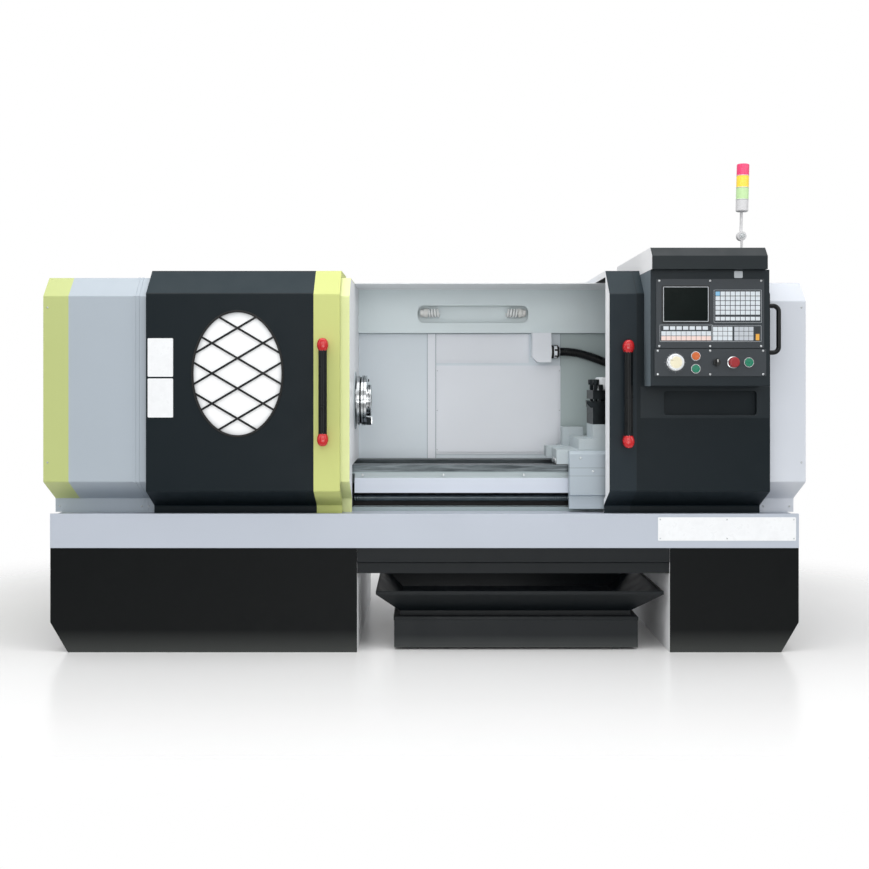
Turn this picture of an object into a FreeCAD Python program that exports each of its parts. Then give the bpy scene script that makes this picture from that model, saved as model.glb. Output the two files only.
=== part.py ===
"""CNC flat-bed turning lathe with two sliding doors, a control box and a coolant unit.

Millimetres, +Z up, +X to the operator's right, the operator stands at -Y. The origin is on the
floor below the middle of the machine. Depths named d are measured backwards from the front
plane of the base band, which lies at Y = front_y.
"""
import FreeCAD, Part
import math
import os

V = FreeCAD.Vector

# ---------------------------------------------------------------- overall sizes
front_y = -510.0            # Y of the base band's front plane
base_length = 2996.0        # base band, along X
base_depth = 1160.0
pedestal_height = 418.0
band_height = 127.0         # top of the pedestals to the deck
rim_height = 10.0           # the band stands this much above the deck
cover_overhang = 27.0       # an end cover reaches this far past the base
cover_depth = 1000.0        # back of the end covers
cover_height = 960.0        # deck to the top of the left covers
right_cover_drop = 20.0     # the right end cover is this much lower
sheet = 3.0                 # sheet metal of the fixed guards
door_sheet = 2.5
bend_r = 8.0                # outer radius of a fold
slide_gap = 0.3             # between a sliding piece and what it slides on
shaft_gap = 0.05            # radial clearance of a shaft in its bore
stem_gap = 0.3              # radial clearance of a button's stem

deck_z = pedestal_height + band_height
cover_top = deck_z + cover_height
half_base = base_length / 2
cover_end = half_base + cover_overhang

# ---------------------------------------------------------------- base
left_leg_inner = -270.0     # facing sides of the two pedestals
right_leg_inner = 982.0
leg_wall = 8.0
leg_floor = 12.0
leg_set_back = 3.0
leg_corner = (70.0, 120.0)  # cut-off outer bottom corner, along X and Z
bolt_hole_r = 12.0
bolt_inset = 100.0          # foundation bolts from the pedestal's walls
tray_sheet = 4.0
chip_hole = (-170.0, 880.0, 264.0, 526.0)    # x0, x1, d0, d1 of the drop in the deck
beam_height = 103.0
beam_step = 56.0            # upper, more forward face of the beam
beam_set_back = 5.0

# ---------------------------------------------------------------- bed and drive screw
bed_left = -1000.0
bed_right = 1320.0
bed_front = 180.0
bed_back = 590.0
bed_height = 192.0          # deck to the ways
way_width = 85.0
way_thick = 37.0
bed_web = 40.0
bed_web_set_back = 40.0
bed_lip = 17.0
rib_thick = 30.0
rib_pitch = 300.0
screw_r = 16.0
screw_d = 198.0
screw_rise = 53.0           # deck to the drive screw
servo_side = 84.0
servo_length = 160.0
way_z = deck_z + bed_height
screw_z = deck_z + screw_rise

# ---------------------------------------------------------------- headstock and spindle
bulkhead_x = -300.0         # right face of the headstock guard
spindle_d = 370.0
centre_height = 265.0       # spindle above the ways
spindle_r = 55.0
spindle_bore_r = 26.0
headstock_left = -950.0
headstock_wall = 34.0
headstock_above = 198.0     # spindle to the top of the casting
boss_r = 124.0
plate_r = 107.5
plate_thick = 40.0
nose_r = 67.5
nose_length = 18.0
pulley_left = -1120.0
pulley_width = 70.0
spindle_pulley_r = 110.0
motor_pulley_r = 70.0
motor_d = 790.0
motor_rise = 175.0          # deck to the motor's axis
motor_r = 125.0
motor_length = 380.0
motor_shaft_r = 20.0
belt_thick = 10.0
belt_width = 13.0
belt_count = 4
spindle_z = way_z + centre_height
motor_z = deck_z + motor_rise

# ---------------------------------------------------------------- fixed guards
seam_x = -1152.0            # joint between the end cover and the headstock cover
bar_hole_r = 70.0           # hole in the left end cover, in line with the spindle
right_cover_x = 1050.0
chamfer_d = 75.0            # slope between a cover's front and its roof
chamfer_h = 79.0
foot_d = 150.0              # set-back of a cover's foot
foot_h = 57.0
slope_h = 137.0             # deck to the bend below a cover's front
wall_d = 640.0              # front of the rear wall
roof_front_d = 307.0
roof_right = 1140.0
wall_foot_h = 171.0         # deck to the rear wall's lower bend
header_h = 202.0
header_deep = 28.0
lamp_pocket = (-31.0, 471.0, 77.0, 156.0)    # x0, x1, top and bottom below the roof
post_strip = (14.0, 52.0)
panel_right = 621.0
upper_panel_right = 475.0
cabinet = (-260.0, 1030.0, 705.0, 1180.0)    # x0, x1, d0, d1
cabinet_height = 935.0
cabinet_sheet = 4.0
cabinet_door_thick = 18.0
hinge_r = 6.0
hinge_pin_r = 3.0

# ---------------------------------------------------------------- sliding doors
door_front_d = -30.0
door_rise = 29.0            # the doors' roofs above the covers' roofs
door_chamfer_d = 105.0
door_chamfer_h = 102.0
door_slope_h = 102.0        # deck to the doors' lower bend
door_foot_d = 110.0
door_foot_h = 32.0
left_door = (-1107.0, -337.0)
left_roof_back = 335.0
right_door = (735.0, 1373.0)
right_roof_back = 990.0
door_return = 27.0          # depth of a door's folded side
right_door_return = 100.0   # the deeper fold at the right door's free side
roof_return = 26.0          # folds stay this shallow under the roof
chamfer_return = 18.0
foot_return = 22.0
window_x = -743.0
window_z = deck_z + 570.0
window_rx = 180.0
window_rz = 249.0
pane_lap = 12.0
pane_thick = 4.0
grille_pitch = 120.0        # between crossings, up the middle
grille_half_width = 101.5
grille_bar = 8.0
grille_first = deck_z + 751.6
handle_bar_r = 17.0
handle_length = 426.0
handle_end = (42.0, 60.0)   # width and height of an end cap
handle_reach = 57.0
left_handle_at = (-401.0, deck_z + 284.0)    # x, lower end
right_handle_at = (804.0, deck_z + 277.0)
control_drop = 439.0        # roofs of the left covers to the underside of the control box
control_bottom = cover_top - control_drop
pocket = (951.0, 1320.0, control_bottom - 115.0, control_bottom - 19.0)
pocket_deep = 20.0

# ---------------------------------------------------------------- control box
control_x = (873.0, 1332.0)
control_front_d = -155.0
hood_bottom = control_bottom + 450.0
hood_x = (873.0, 1317.0)
hood_front_d = -185.0
hood_back_d = 600.0
hood_height = 86.0
hood_chamfer = 35.0
box_sheet = 2.5
panel_thick = 3.0
upper_panel_box = (894.0, 1311.0, control_bottom + 147.6, control_bottom + 414.0)
lower_panel_box = (888.0, 1319.0, control_bottom + 39.0, control_bottom + 143.7)
panel_lap = 12.0            # the box's front rim behind a panel
screen = (922.0, 1095.0, control_bottom + 250.0, control_bottom + 383.0)
screen_deep = 1.5
key_thick = 1.2
# x0, x1, z0, z1, columns, rows, share of the pitch that a key fills
key_blocks = (
    (1122.0, 1296.0, control_bottom + 275.0, control_bottom + 366.6, 9, 5, 0.86),
    (1122.0, 1296.0, control_bottom + 252.6, control_bottom + 269.0, 9, 1, 0.86),
    (919.6, 1096.0, control_bottom + 216.0, control_bottom + 233.0, 7, 1, 0.80),
    (913.0, 1106.5, control_bottom + 176.0, control_bottom + 213.0, 10, 2, 0.90),
    (1112.6, 1189.0, control_bottom + 176.0, control_bottom + 230.0, 4, 3, 0.90),
    (1195.0, 1270.0, control_bottom + 176.0, control_bottom + 230.0, 4, 3, 0.90),
    (1277.5, 1293.0, control_bottom + 176.0, control_bottom + 230.0, 1, 2, 0.90),
)
control_z = control_bottom + 92.0
pulse_wheel_x, pulse_wheel_r = 968.0, 32.0
small_button_x, small_button_r, small_button_split = 1046.0, 15.5, 24.5
selector_x, selector_r = 1127.0, 14.0
estop_x, estop_r = 1192.0, 20.5
start_x, start_r = 1251.0, 16.5
stem_r = 9.0
bezel_wall = 3.0
bezel_height = 5.0
button_travel = 4.0
wheel_boss = 6.0
side_handle_r = 9.0
side_handle = (1382.0, control_bottom + 122.0, control_bottom + 322.0, -110.0)   # x, z0, z1, d
side_handle_bend = 22.0

# ---------------------------------------------------------------- signal tower
tower_x = 1295.0
tower_d = 100.0
tower_hub_rise = 76.0       # hood's roof to the folding hub's axis
tower_hub_r = 19.0
tower_hub_half = 11.0
tower_pole_r = 6.0
tower_lamp_r = 25.0
tower_base_rise = 176.0     # hood's roof to the tower's lowest cup
tower_cup = 47.0
tower_lamp_h = 49.0
tower_lean = 1.5            # degrees

# ---------------------------------------------------------------- carriage, tool post, tailstock
apron_x = (596.0, 900.0)
apron_front_d = 118.0
saddle_front_d = 160.0
saddle_back_d = 605.0
saddle_height = 64.0
saddle_wing = (547.0, 330.0)        # left end, back
screw_guard = (523.0, 330.0, 430.0, 23.0, 69.0)   # x0, d0, d1, z0 and z1 above the ways
cross_x = (640.0, 880.0)
cross_d = (170.0, 530.0)
cross_height = 44.0
chip_guard = (608.0, 699.0, 460.0, 82.0)          # x0, x1, d0, height
post_x, post_d, post_side = 790.0, 265.0, 180.0
post_foot = 60.0
post_core = 110.0
post_slot = 35.0
post_top = 37.0
tool_side = 25.0
tool_length = 150.0
tool_reach = 25.0
post_cap_r, post_cap_h = 35.0, 56.0
tail_x = (1050.0, 1250.0)
tail_foot_x = (1060.0, 1240.0)
tail_foot_h = 38.0
tail_barrel_r = 62.0
tail_web = 120.0
quill_r = 35.0
quill_nose_x = 1000.0
quill_back_wall = 12.0
centre_r = 12.0
centre_shank = 60.0
hand_wheel_r = 85.0
hand_rim_r = 9.0

# ---------------------------------------------------------------- coolant unit
pan_top = (-195.0, 957.0, 0.0, 700.0)        # x0, x1, d0, d1
pan_floor = (-100.0, 838.0, 82.0, 620.0)
pan_lip_z = 244.0
pan_floor_z = 151.0
pan_lip = 12.0
tank = (-123.0, 862.0, 45.0, 655.0)
tank_top_z = 134.0
skid_height = 10.0
skid_width = 40.0
drain = (250.0, 490.0, 300.0, 420.0)         # x0, x1, d0, d1 of the drain

# ---------------------------------------------------------------- conduit
conduit_r = 19.5
conduit_d = 607.0
gland_r = 29.0
gland_length = 39.0
left_box = (487.0, 573.0, deck_z + 625.0, deck_z + 758.0)
right_box = (1090.0, 1135.0, deck_z + 520.0, deck_z + 660.0)
box_deep = 60.0
conduit_points = (           # x, z between the two glands
    (612.0, deck_z + 673.0), (668.0, deck_z + 673.0), (745.0, deck_z + 654.0), (830.0, deck_z + 621.0),
    (915.0, deck_z + 597.0), (990.0, deck_z + 590.0), (1051.0, deck_z + 590.0))


# ================================================================ drawing helpers
def box(x0, x1, d0, d1, z0, z1):
    """A block between two X, two depths and two heights."""
    return Part.makeBox(x1 - x0, d1 - d0, z1 - z0, V(x0, front_y + d0, z0))


def rod_x(x0, x1, d, z, r):
    return Part.makeCylinder(r, x1 - x0, V(x0, front_y + d, z), V(1, 0, 0))


def rod_y(x, d0, d1, z, r):
    return Part.makeCylinder(r, d1 - d0, V(x, front_y + d0, z), V(0, 1, 0))


def rod_z(x, d, z0, z1, r):
    return Part.makeCylinder(r, z1 - z0, V(x, front_y + d, z0), V(0, 0, 1))


def rounded_wire(corners, radii):
    """A closed wire through 3-D corners, each rounded by its own radius."""
    count = len(corners)
    if not hasattr(radii, "__len__"):
        radii = [radii] * count
    edges, starts, ends = [], [], []
    for i, corner in enumerate(corners):
        back = (corners[i - 1] - corner).normalize()
        ahead = (corners[(i + 1) % count] - corner).normalize()
        half = back.getAngle(ahead) / 2
        if radii[i] <= 0:
            starts.append(corner)
            ends.append(corner)
            continue
        reach = radii[i] / math.tan(half)
        middle = (back + ahead).normalize()
        tip = corner + middle * (radii[i] / math.sin(half) - radii[i])
        starts.append(corner + back * reach)
        ends.append(corner + ahead * reach)
        edges.append((i, Part.Arc(starts[i], tip, ends[i]).toShape()))
    arcs = dict(edges)
    path = []
    for i in range(count):
        if i in arcs:
            path.append(arcs[i])
        after = starts[(i + 1) % count]
        if (after - ends[i]).Length > 1e-6:
            path.append(Part.makeLine(ends[i], after))
    return Part.Wire(path)


def prism_x(x0, x1, outline, radii=0.0):
    """A bar along X from an outline of (depth, height)."""
    corners = [V(x0, front_y + d, z) for d, z in outline]
    return Part.Face(rounded_wire(corners, radii)).extrude(V(x1 - x0, 0, 0))


def prism_y(d0, d1, outline, radii=0.0):
    """A bar along depth from an outline of (x, height)."""
    corners = [V(x, front_y + d0, z) for x, z in outline]
    return Part.Face(rounded_wire(corners, radii)).extrude(V(0, d1 - d0, 0))


def plate_y(x0, x1, z0, z1, d0, d1, r):
    """A plate that faces the operator, with round corners."""
    return prism_y(d0, d1, [(x0, z0), (x1, z0), (x1, z1), (x0, z1)], r)


def inset(outline, walls):
    """Move each side of an outline inwards by its own wall; side i runs from corner i to i + 1."""
    count = len(outline)
    area = sum(outline[i - 1][0] * outline[i][1] - outline[i][0] * outline[i - 1][1] for i in range(count))
    turn = 1.0 if area > 0 else -1.0
    lines = []
    for i in range(count):
        (a, b), (c, e) = outline[i], outline[(i + 1) % count]
        length = math.hypot(c - a, e - b)
        u, w = (c - a) / length, (e - b) / length
        lines.append((a - turn * w * walls[i], b + turn * u * walls[i], u, w))
    moved = []
    for i in range(count):
        a, b, u, w = lines[i - 1]
        c, e, p, q = lines[i]
        t = ((c - a) * q - (e - b) * p) / (u * q - w * p)
        moved.append((a + t * u, b + t * w))
    return moved


def strip(points, thick):
    """Outline of a folded strip of the given thickness about a centre line."""
    sides = ([], [])
    for i, (a, b) in enumerate(points):
        before = points[max(i - 1, 0)]
        after = points[min(i + 1, len(points) - 1)]
        normals = []
        for (p, q), (r, s) in ((before, (a, b)), ((a, b), after)):
            length = math.hypot(r - p, s - q)
            if length > 0:
                normals.append((-(s - q) / length, (r - p) / length))
        n = (sum(v[0] for v in normals), sum(v[1] for v in normals))
        size = math.hypot(*n)
        n = (n[0] / size, n[1] / size)
        reach = thick / 2 / (n[0] * normals[0][0] + n[1] * normals[0][1])
        sides[0].append((a + n[0] * reach, b + n[1] * reach))
        sides[1].append((a - n[0] * reach, b - n[1] * reach))
    return sides[0] + sides[1][::-1]


def smooth_path(points, share=0.45):
    """A wire of straight runs joined by the largest tangent arcs that the runs allow."""
    edges, start = [], points[0]
    for i in range(1, len(points) - 1):
        back, ahead = points[i - 1] - points[i], points[i + 1] - points[i]
        reach = share * min(back.Length, ahead.Length)
        back.normalize()
        ahead.normalize()
        half = back.getAngle(ahead) / 2
        radius = reach * math.tan(half)
        middle = (back + ahead).normalize()
        tip = points[i] + middle * (radius / math.sin(half) - radius)
        first, last = points[i] + back * reach, points[i] + ahead * reach
        edges += [Part.makeLine(start, first), Part.Arc(first, tip, last).toShape()]
        start = last
    edges.append(Part.makeLine(start, points[-1]))
    return Part.Wire(edges)


def tube_on(path, r):
    """A round solid along a wire."""
    start = path.Edges[0].valueAt(path.Edges[0].FirstParameter)
    way = path.Edges[0].tangentAt(path.Edges[0].FirstParameter)
    section = Part.Wire(Part.makeCircle(r, start, way))
    return path.makePipeShell([section], True, False)


def union(shapes):
    whole = shapes[0].fuse(shapes[1:]) if len(shapes) > 1 else shapes[0]
    return whole.removeSplitter()


def save(name, shape):
    """Write one piece, and stop if it is not sound."""
    if not shape.isValid() or shape.Volume <= 0:
        raise ValueError("bad shape: " + name)
    shape.exportStep("parts/" + name + ".step")
    print(name, len(shape.Solids), round(shape.Volume / 1e6, 3))


# ================================================================ base
def pedestal(x_out, x_in):
    """Welded box leg: open top, foundation bolt holes in its floor, outer bottom corner cut off."""
    sign = 1.0 if x_out > x_in else -1.0
    cut_x, cut_z = leg_corner
    outline = [(x_in, 0), (x_out - sign * cut_x, 0), (x_out, cut_z), (x_out, pedestal_height), (x_in, pedestal_height)]
    d0, d1 = leg_set_back, base_depth - leg_set_back
    body = prism_y(d0, d1, outline)
    room = inset(outline, [leg_floor, leg_wall, leg_wall, -1.0, leg_wall])
    body = body.cut(prism_y(d0 + leg_wall, d1 - leg_wall, room))
    for x, d in bolt_places(x_out, x_in):
        body = body.cut(rod_z(x, d, -1.0, leg_floor + 1.0, bolt_hole_r))
    return body


def bolt_places(x_out, x_in):
    sign = 1.0 if x_out > x_in else -1.0
    xs = (x_in + sign * bolt_inset, x_out - sign * (leg_corner[0] + bolt_inset))
    ds = (leg_set_back + bolt_inset, base_depth - leg_set_back - bolt_inset)
    return [(x, d) for x in xs for d in ds]


def base_tray():
    """Folded tray: front band and skirts, a deck with a front rim, and the drop for chips."""
    z0, z1 = pedestal_height, deck_z + rim_height
    t = tray_sheet
    outer = box(-half_base, half_base, 0, base_depth, z0, z1)
    below = box(-half_base + t, half_base - t, t, base_depth - t, z0 - 1, deck_z - t)
    above = box(-half_base - 1, half_base + 1, rim_height, base_depth + 1, deck_z, z1 + 1)
    x0, x1, d0, d1 = chip_hole
    drop = box(x0, x1, d0, d1, z0, z1)
    return outer.cut([below, above, drop])


def front_beam():
    """Folded beam between the pedestals: an upper face and a lower one set further back."""
    z1 = pedestal_height
    step = beam_set_back + tray_sheet / 2
    line = [(step + 40, z1 - tray_sheet / 2), (step, z1 - tray_sheet / 2), (step, z1 - beam_step),
            (step + 8, z1 - beam_step - 6), (step + 8, z1 - beam_height + tray_sheet / 2),
            (step + 48, z1 - beam_height + tray_sheet / 2)]
    return prism_x(left_leg_inner, right_leg_inner, strip(line, tray_sheet))


# ================================================================ bed and screw
def bed():
    """Cast bed: two ways on webs, cross ribs, a lower front lip and two screw bearings."""
    web0, web1 = bed_front + bed_web_set_back, bed_back - 20.0
    under = way_z - way_thick
    parts = [
        box(bed_left, bed_right, bed_front, bed_front + way_width, under, way_z),
        box(bed_left, bed_right, bed_back - way_width, bed_back, under, way_z),
        box(bed_left, bed_right, web0, web0 + bed_web, deck_z, way_z),
        box(bed_left, bed_right, web1 - bed_web, web1, deck_z, way_z),
        box(bed_left, bed_right, bed_front, web0, deck_z, deck_z + bed_lip),
        box(headstock_left, bulkhead_x - 14, web0, web1, under, way_z),
    ]
    count = int((bed_right - bed_left - rib_thick) // rib_pitch)
    spacing = (bed_right - bed_left - rib_thick) / count
    for i in range(count + 1):
        x = bed_left + i * spacing
        parts.append(box(x, x + rib_thick, web0, web1, deck_z + bed_lip, under - 15.0))
    for x0, x1 in screw_bearings():
        parts.append(box(x0, x1, bed_front - 10.0, web0 + 5.0, deck_z + bed_lip, screw_z + 28.0))
    hole = rod_x(bed_left - 1, bed_right + 1, screw_d, screw_z, screw_r + shaft_gap)
    return union(parts).cut(hole)


def screw_bearings():
    return ((bulkhead_x - 30.0, bulkhead_x + 4.0), (bed_right - 30.0, bed_right))


def bed_front_cover():
    """Folded cover over the drive screw, screwed to the front way."""
    t = sheet
    top = way_z - 33.0
    line = [(bed_front - t / 2, top), (bed_front - t / 2, top - 17.0), (bed_front - 12.0, top - 20.5),
            (bed_front - 12.0, screw_z + 25.5), (bed_front + bed_web_set_back - 1.0, screw_z + 25.5)]
    x0 = screw_bearings()[0][1] + 6.0
    x1 = screw_bearings()[1][0] - 5.0
    return prism_x(x0, x1, strip(line, t))


def drive_screw():
    return rod_x(screw_bearings()[0][0] + 5.0, bed_right - 4.0, screw_d, screw_z, screw_r)


def feed_servo():
    """Square motor bolted to the bed's right end."""
    half = servo_side / 2
    body = box(bed_right, bed_right + servo_length, screw_d - half, screw_d + half, screw_z - half, screw_z + half)
    edges = [e for e in body.Edges if abs(e.tangentAt(e.FirstParameter).x) > 0.9]
    body = body.makeFillet(10.0, edges)
    plug = box(bed_right + 110.0, bed_right + 140.0, screw_d - 18, screw_d + 18,
               screw_z + half - 1, screw_z + half + 28)
    return union([body, plug])


# ================================================================ headstock and spindle
def headstock():
    """Open-topped cast box with two bearing walls and a round front boss."""
    x1 = bulkhead_x - 14.0
    top = spindle_z + headstock_above
    d0, d1 = bed_front, bed_back
    w = headstock_wall
    body = box(headstock_left, x1, d0, d1, way_z, top)
    body = body.makeFillet(18.0, [e for e in body.Edges if abs(e.tangentAt(e.FirstParameter).z) > 0.9])
    room = box(headstock_left + 2 * w, x1 - 2 * w, d0 + w, d1 - w, way_z + w, top + 1)
    boss = rod_x(x1 - 1, bulkhead_x + 4.0, spindle_d, spindle_z, boss_r)
    bore = rod_x(headstock_left - 1, bulkhead_x + 5.0, spindle_d, spindle_z, spindle_r + shaft_gap)
    return union([body.cut(room), boss]).cut(bore)


def flange_x():
    return bulkhead_x + 4.0 + slide_gap


def spindle():
    """Hollow shaft with a flange in front of the headstock."""
    tail = pulley_left - 20.0
    x0 = flange_x()
    shaft = rod_x(tail, x0 + 1, spindle_d, spindle_z, spindle_r)
    flange = rod_x(x0, x0 + 8.0, spindle_d, spindle_z, nose_r + 1.5)
    bore = rod_x(tail - 1, x0 + 9.0, spindle_d, spindle_z, spindle_bore_r)
    return union([shaft, flange]).cut(bore)


def spindle_plate():
    """Drive plate with a rim groove, a raised nose and a driving dog at its lower edge."""
    x0 = flange_x() + 8.0
    x1 = x0 + plate_thick
    disc = rod_x(x0, x1, spindle_d, spindle_z, plate_r)
    groove = rod_x(x0 + 10, x0 + 18, spindle_d, spindle_z, plate_r + 1)
    groove = groove.cut(rod_x(x0 + 10, x0 + 18, spindle_d, spindle_z, plate_r - 7))
    nose = rod_x(x1 - 1, x1 + nose_length, spindle_d, spindle_z, nose_r)
    nose = nose.makeFillet(3.0, [e for e in nose.Edges if abs(e.BoundBox.XMin - x1 - nose_length) < 0.01])
    dog = box(x1 - 6, x1 + 22, spindle_d - 16, spindle_d + 16, spindle_z - plate_r + 6, spindle_z - nose_r - 4)
    bore = rod_x(x0 - 1, x1 + nose_length + 1, spindle_d, spindle_z, spindle_bore_r)
    return union([disc.cut(groove), nose, dog]).cut(bore)


def pulley(d, z, r, hub_hole):
    """Flat belt wheel with two flanges."""
    x0, x1 = pulley_left, pulley_left + pulley_width
    body = rod_x(x0, x1, d, z, r)
    for x in (x0, x1 - 4.0):
        body = body.fuse(rod_x(x, x + 4.0, d, z, r + belt_thick + 6.0))
    if hub_hole:
        body = body.cut(rod_x(x0 - 1, x1 + 1, d, z, hub_hole))
    return body.removeSplitter()


def motor_pulley():
    """Belt wheel with the shaft that runs in the motor."""
    shaft = rod_x(pulley_left + 5, motor_left() + 60.0, motor_d, motor_z, motor_shaft_r)
    return union([pulley(motor_d, motor_z, motor_pulley_r, 0), shaft])


def motor_left():
    return pulley_left + pulley_width + 10.0


def spindle_motor():
    """Foot-mounted main motor with a terminal box."""
    x0 = motor_left()
    x1 = x0 + motor_length
    body = rod_x(x0, x1, motor_d, motor_z, motor_r)
    feet = box(x0 + 40, x1 - 60, motor_d - motor_r, motor_d + motor_r, deck_z, deck_z + 22)
    stand = box(x0 + 60, x1 - 80, motor_d - 80, motor_d + 80, deck_z + 20, motor_z)
    terminals = box(x0 + 120, x0 + 240, motor_d - 60, motor_d + 60, motor_z + motor_r - 20, motor_z + motor_r + 45)
    bore = rod_x(x0 - 1, x0 + 62.0, motor_d, motor_z, motor_shaft_r + shaft_gap)
    return union([body, feet, stand, terminals]).cut(bore)


def loop_face(x, grow):
    """Outline round both pulleys, grown outwards."""
    r1, r2 = spindle_pulley_r + grow, motor_pulley_r + grow
    c1, c2 = V(x, front_y + spindle_d, spindle_z), V(x, front_y + motor_d, motor_z)
    span = c2 - c1
    lead = math.atan2(span.z, span.y)
    open_angle = math.acos((r1 - r2) / span.Length)

    def at(centre, r, angle):
        return centre + V(0, r * math.cos(angle), r * math.sin(angle))

    a0, a1 = lead + open_angle, lead - open_angle + 2 * math.pi
    first = Part.Arc(at(c1, r1, a0), at(c1, r1, (a0 + a1) / 2), at(c1, r1, a1)).toShape()
    second = Part.Arc(at(c2, r2, lead - open_angle), at(c2, r2, lead), at(c2, r2, lead + open_angle)).toShape()
    sides = [Part.makeLine(at(c1, r1, a1), at(c2, r2, lead - open_angle)),
             Part.makeLine(at(c2, r2, lead + open_angle), at(c1, r1, a0))]
    return Part.Face(Part.Wire([first, sides[0], second, sides[1]]))


def drive_belts():
    """Belts side by side between the pulleys' flanges, just clear of the wheels."""
    inner, outer = loop_face(0, 0.4), loop_face(0, belt_thick)
    ring = outer.cut(inner)
    room = pulley_width - 8.0
    pitch = room / belt_count
    belts = []
    for i in range(belt_count):
        x = pulley_left + 4.0 + (i + 0.5) * pitch - belt_width / 2
        belts.append(ring.extrude(V(belt_width, 0, 0)).translated(V(x, 0, 0)))
    return Part.makeCompound(belts)


# ================================================================ fixed guards
def guard_outline(top):
    """Side view of a fixed guard: foot, lower slope, front, upper slope, roof and back."""
    return [(foot_d, deck_z), (foot_d, deck_z + foot_h), (0, deck_z + slope_h), (0, top - chamfer_h),
            (chamfer_d, top), (cover_depth, top), (cover_depth, deck_z)]


def guard(x0, x1, top, left_wall, right_wall):
    """Open-bottomed sheet guard; a side wall is left where one is asked for."""
    outline = guard_outline(top)
    radii = [0, bend_r, bend_r, bend_r, bend_r, bend_r, 0]
    inner_r = [0] + [bend_r - sheet] * 5 + [0]
    room = inset(outline, [sheet] * 6 + [-1.0])
    body = prism_x(x0, x1, outline, radii)
    a = x0 + sheet if left_wall else x0 - 1
    b = x1 - sheet if right_wall else x1 + 1
    return body.cut(prism_x(a, b, room, inner_r))


def left_end_cover():
    """Guard over the pulleys, with a round hole in its side for bars that go through the spindle."""
    shell = guard(-cover_end, seam_x, cover_top, True, False)
    return shell.cut(rod_x(-cover_end - 1, sheet + 1 - cover_end, spindle_d, spindle_z, bar_hole_r))


def left_bulkhead():
    """Wall between headstock and work space, open for the spindle boss and the bed."""
    outline = inset(guard_outline(cover_top), [sheet + 0.2] * 6 + [0.0])
    wall = prism_x(bulkhead_x - 4.0, bulkhead_x, outline, [0] + [bend_r] * 5 + [0])
    hole = rod_x(bulkhead_x - 5, bulkhead_x + 1, spindle_d, spindle_z, boss_r + 1.0)
    slot = box(bulkhead_x - 5, bulkhead_x + 1, bed_front - 13, bed_back + 1, deck_z - 1, way_z + 1)
    return wall.cut([hole, slot])


def rear_wall():
    """Folded wall behind the work space: roof, header with the lamp pocket, wall and foot."""
    t = sheet
    x0, x1 = bulkhead_x + 0.2, right_cover_x - 0.2
    roof_z = cover_top - t
    parts = [
        box(x0, roof_right, roof_front_d, wall_d + t, roof_z, cover_top),
        box(x0, x1, wall_d, wall_d + t, deck_z + wall_foot_h, cover_top),
        box(x0, x1, wall_d - header_deep, wall_d - header_deep + t, cover_top - header_h, cover_top),
        box(x0, x1, wall_d - header_deep, wall_d + t, cover_top - header_h, cover_top - header_h + t),
        box(post_strip[0], post_strip[1], wall_d - 6, wall_d + 1, deck_z + wall_foot_h, cover_top - header_h + 1),
    ]
    foot = [(wall_d + t / 2, deck_z + wall_foot_h + 10), (wall_d + t / 2, deck_z + wall_foot_h),
            (wall_d + 55, deck_z + wall_foot_h - 26), (wall_d + 55, deck_z)]
    parts.append(prism_x(x0, x1, strip(foot, t)))
    a, b, up, down = lamp_pocket
    hole = plate_y(a, b, cover_top - down, cover_top - up, wall_d - header_deep - 1, wall_d - 1, 30.0)
    return union(parts).cut(hole)


def access_panels():
    """Two screwed panels, each with a raised middle."""
    panels = []
    foot = deck_z + 207.0
    split = deck_z + 611.0
    for right, z0, z1 in ((panel_right, foot, split), (upper_panel_right, split + 12, cover_top - header_h - 3)):
        left = post_strip[1] + 1
        rim = plate_y(left, right, z0, z1, wall_d - 3, wall_d, 4.0)
        middle = plate_y(left + 10, right - 10, z0 + 10, z1 - 10, wall_d - 6, wall_d - 2.9, 6.0)
        panels.append(union([rim, middle]))
    return Part.makeCompound(panels)


def work_lamp():
    """Tubular lamp in the header's pocket, between two sockets."""
    a, b, up, down = lamp_pocket
    z = cover_top - (up + down) / 2
    d = wall_d - 24.0
    socket, tube_r = 34.0, 20.0
    parts = [rod_x(a + 20, b - 20, d, z, tube_r)]
    for x in (a + 12, b - 12 - socket):
        parts.append(plate_y(x, x + socket, z - 27, z + 27, wall_d - 50, wall_d, 8.0))
    return union(parts)


def cable_box(x0, x1, z0, z1, gland_x, gland_z, to_right):
    """Small wall box with a gland on the side where the conduit enters."""
    cut = 24.0
    outline = [(x0 + cut, z0), (x1, z0), (x1, z1), (x0, z1), (x0, z0 + cut)]
    body = prism_y(wall_d - box_deep, wall_d, outline)
    ends = (x1 - 1, gland_x) if to_right else (gland_x, x0 + 1)
    middle = ends[1] - 12 if to_right else ends[0] + 12
    nut = (x1 - 1, middle) if to_right else (middle, x0 + 1)
    gland = rod_x(ends[0], ends[1], conduit_d, gland_z, conduit_r + 4)
    hexagon = rod_x(nut[0], nut[1], conduit_d, gland_z, gland_r)
    return union([body, gland, hexagon])


def cable_boxes():
    first, last = conduit_points[0], conduit_points[-1]
    return Part.makeCompound([
        cable_box(*left_box, first[0], first[1], True),
        cable_box(*right_box, last[0], last[1], False)])


def conduit():
    path = smooth_path([V(x, front_y + conduit_d, z) for x, z in conduit_points])
    print("conduit length", round(path.Length, 1))
    return tube_on(path, conduit_r)


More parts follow.
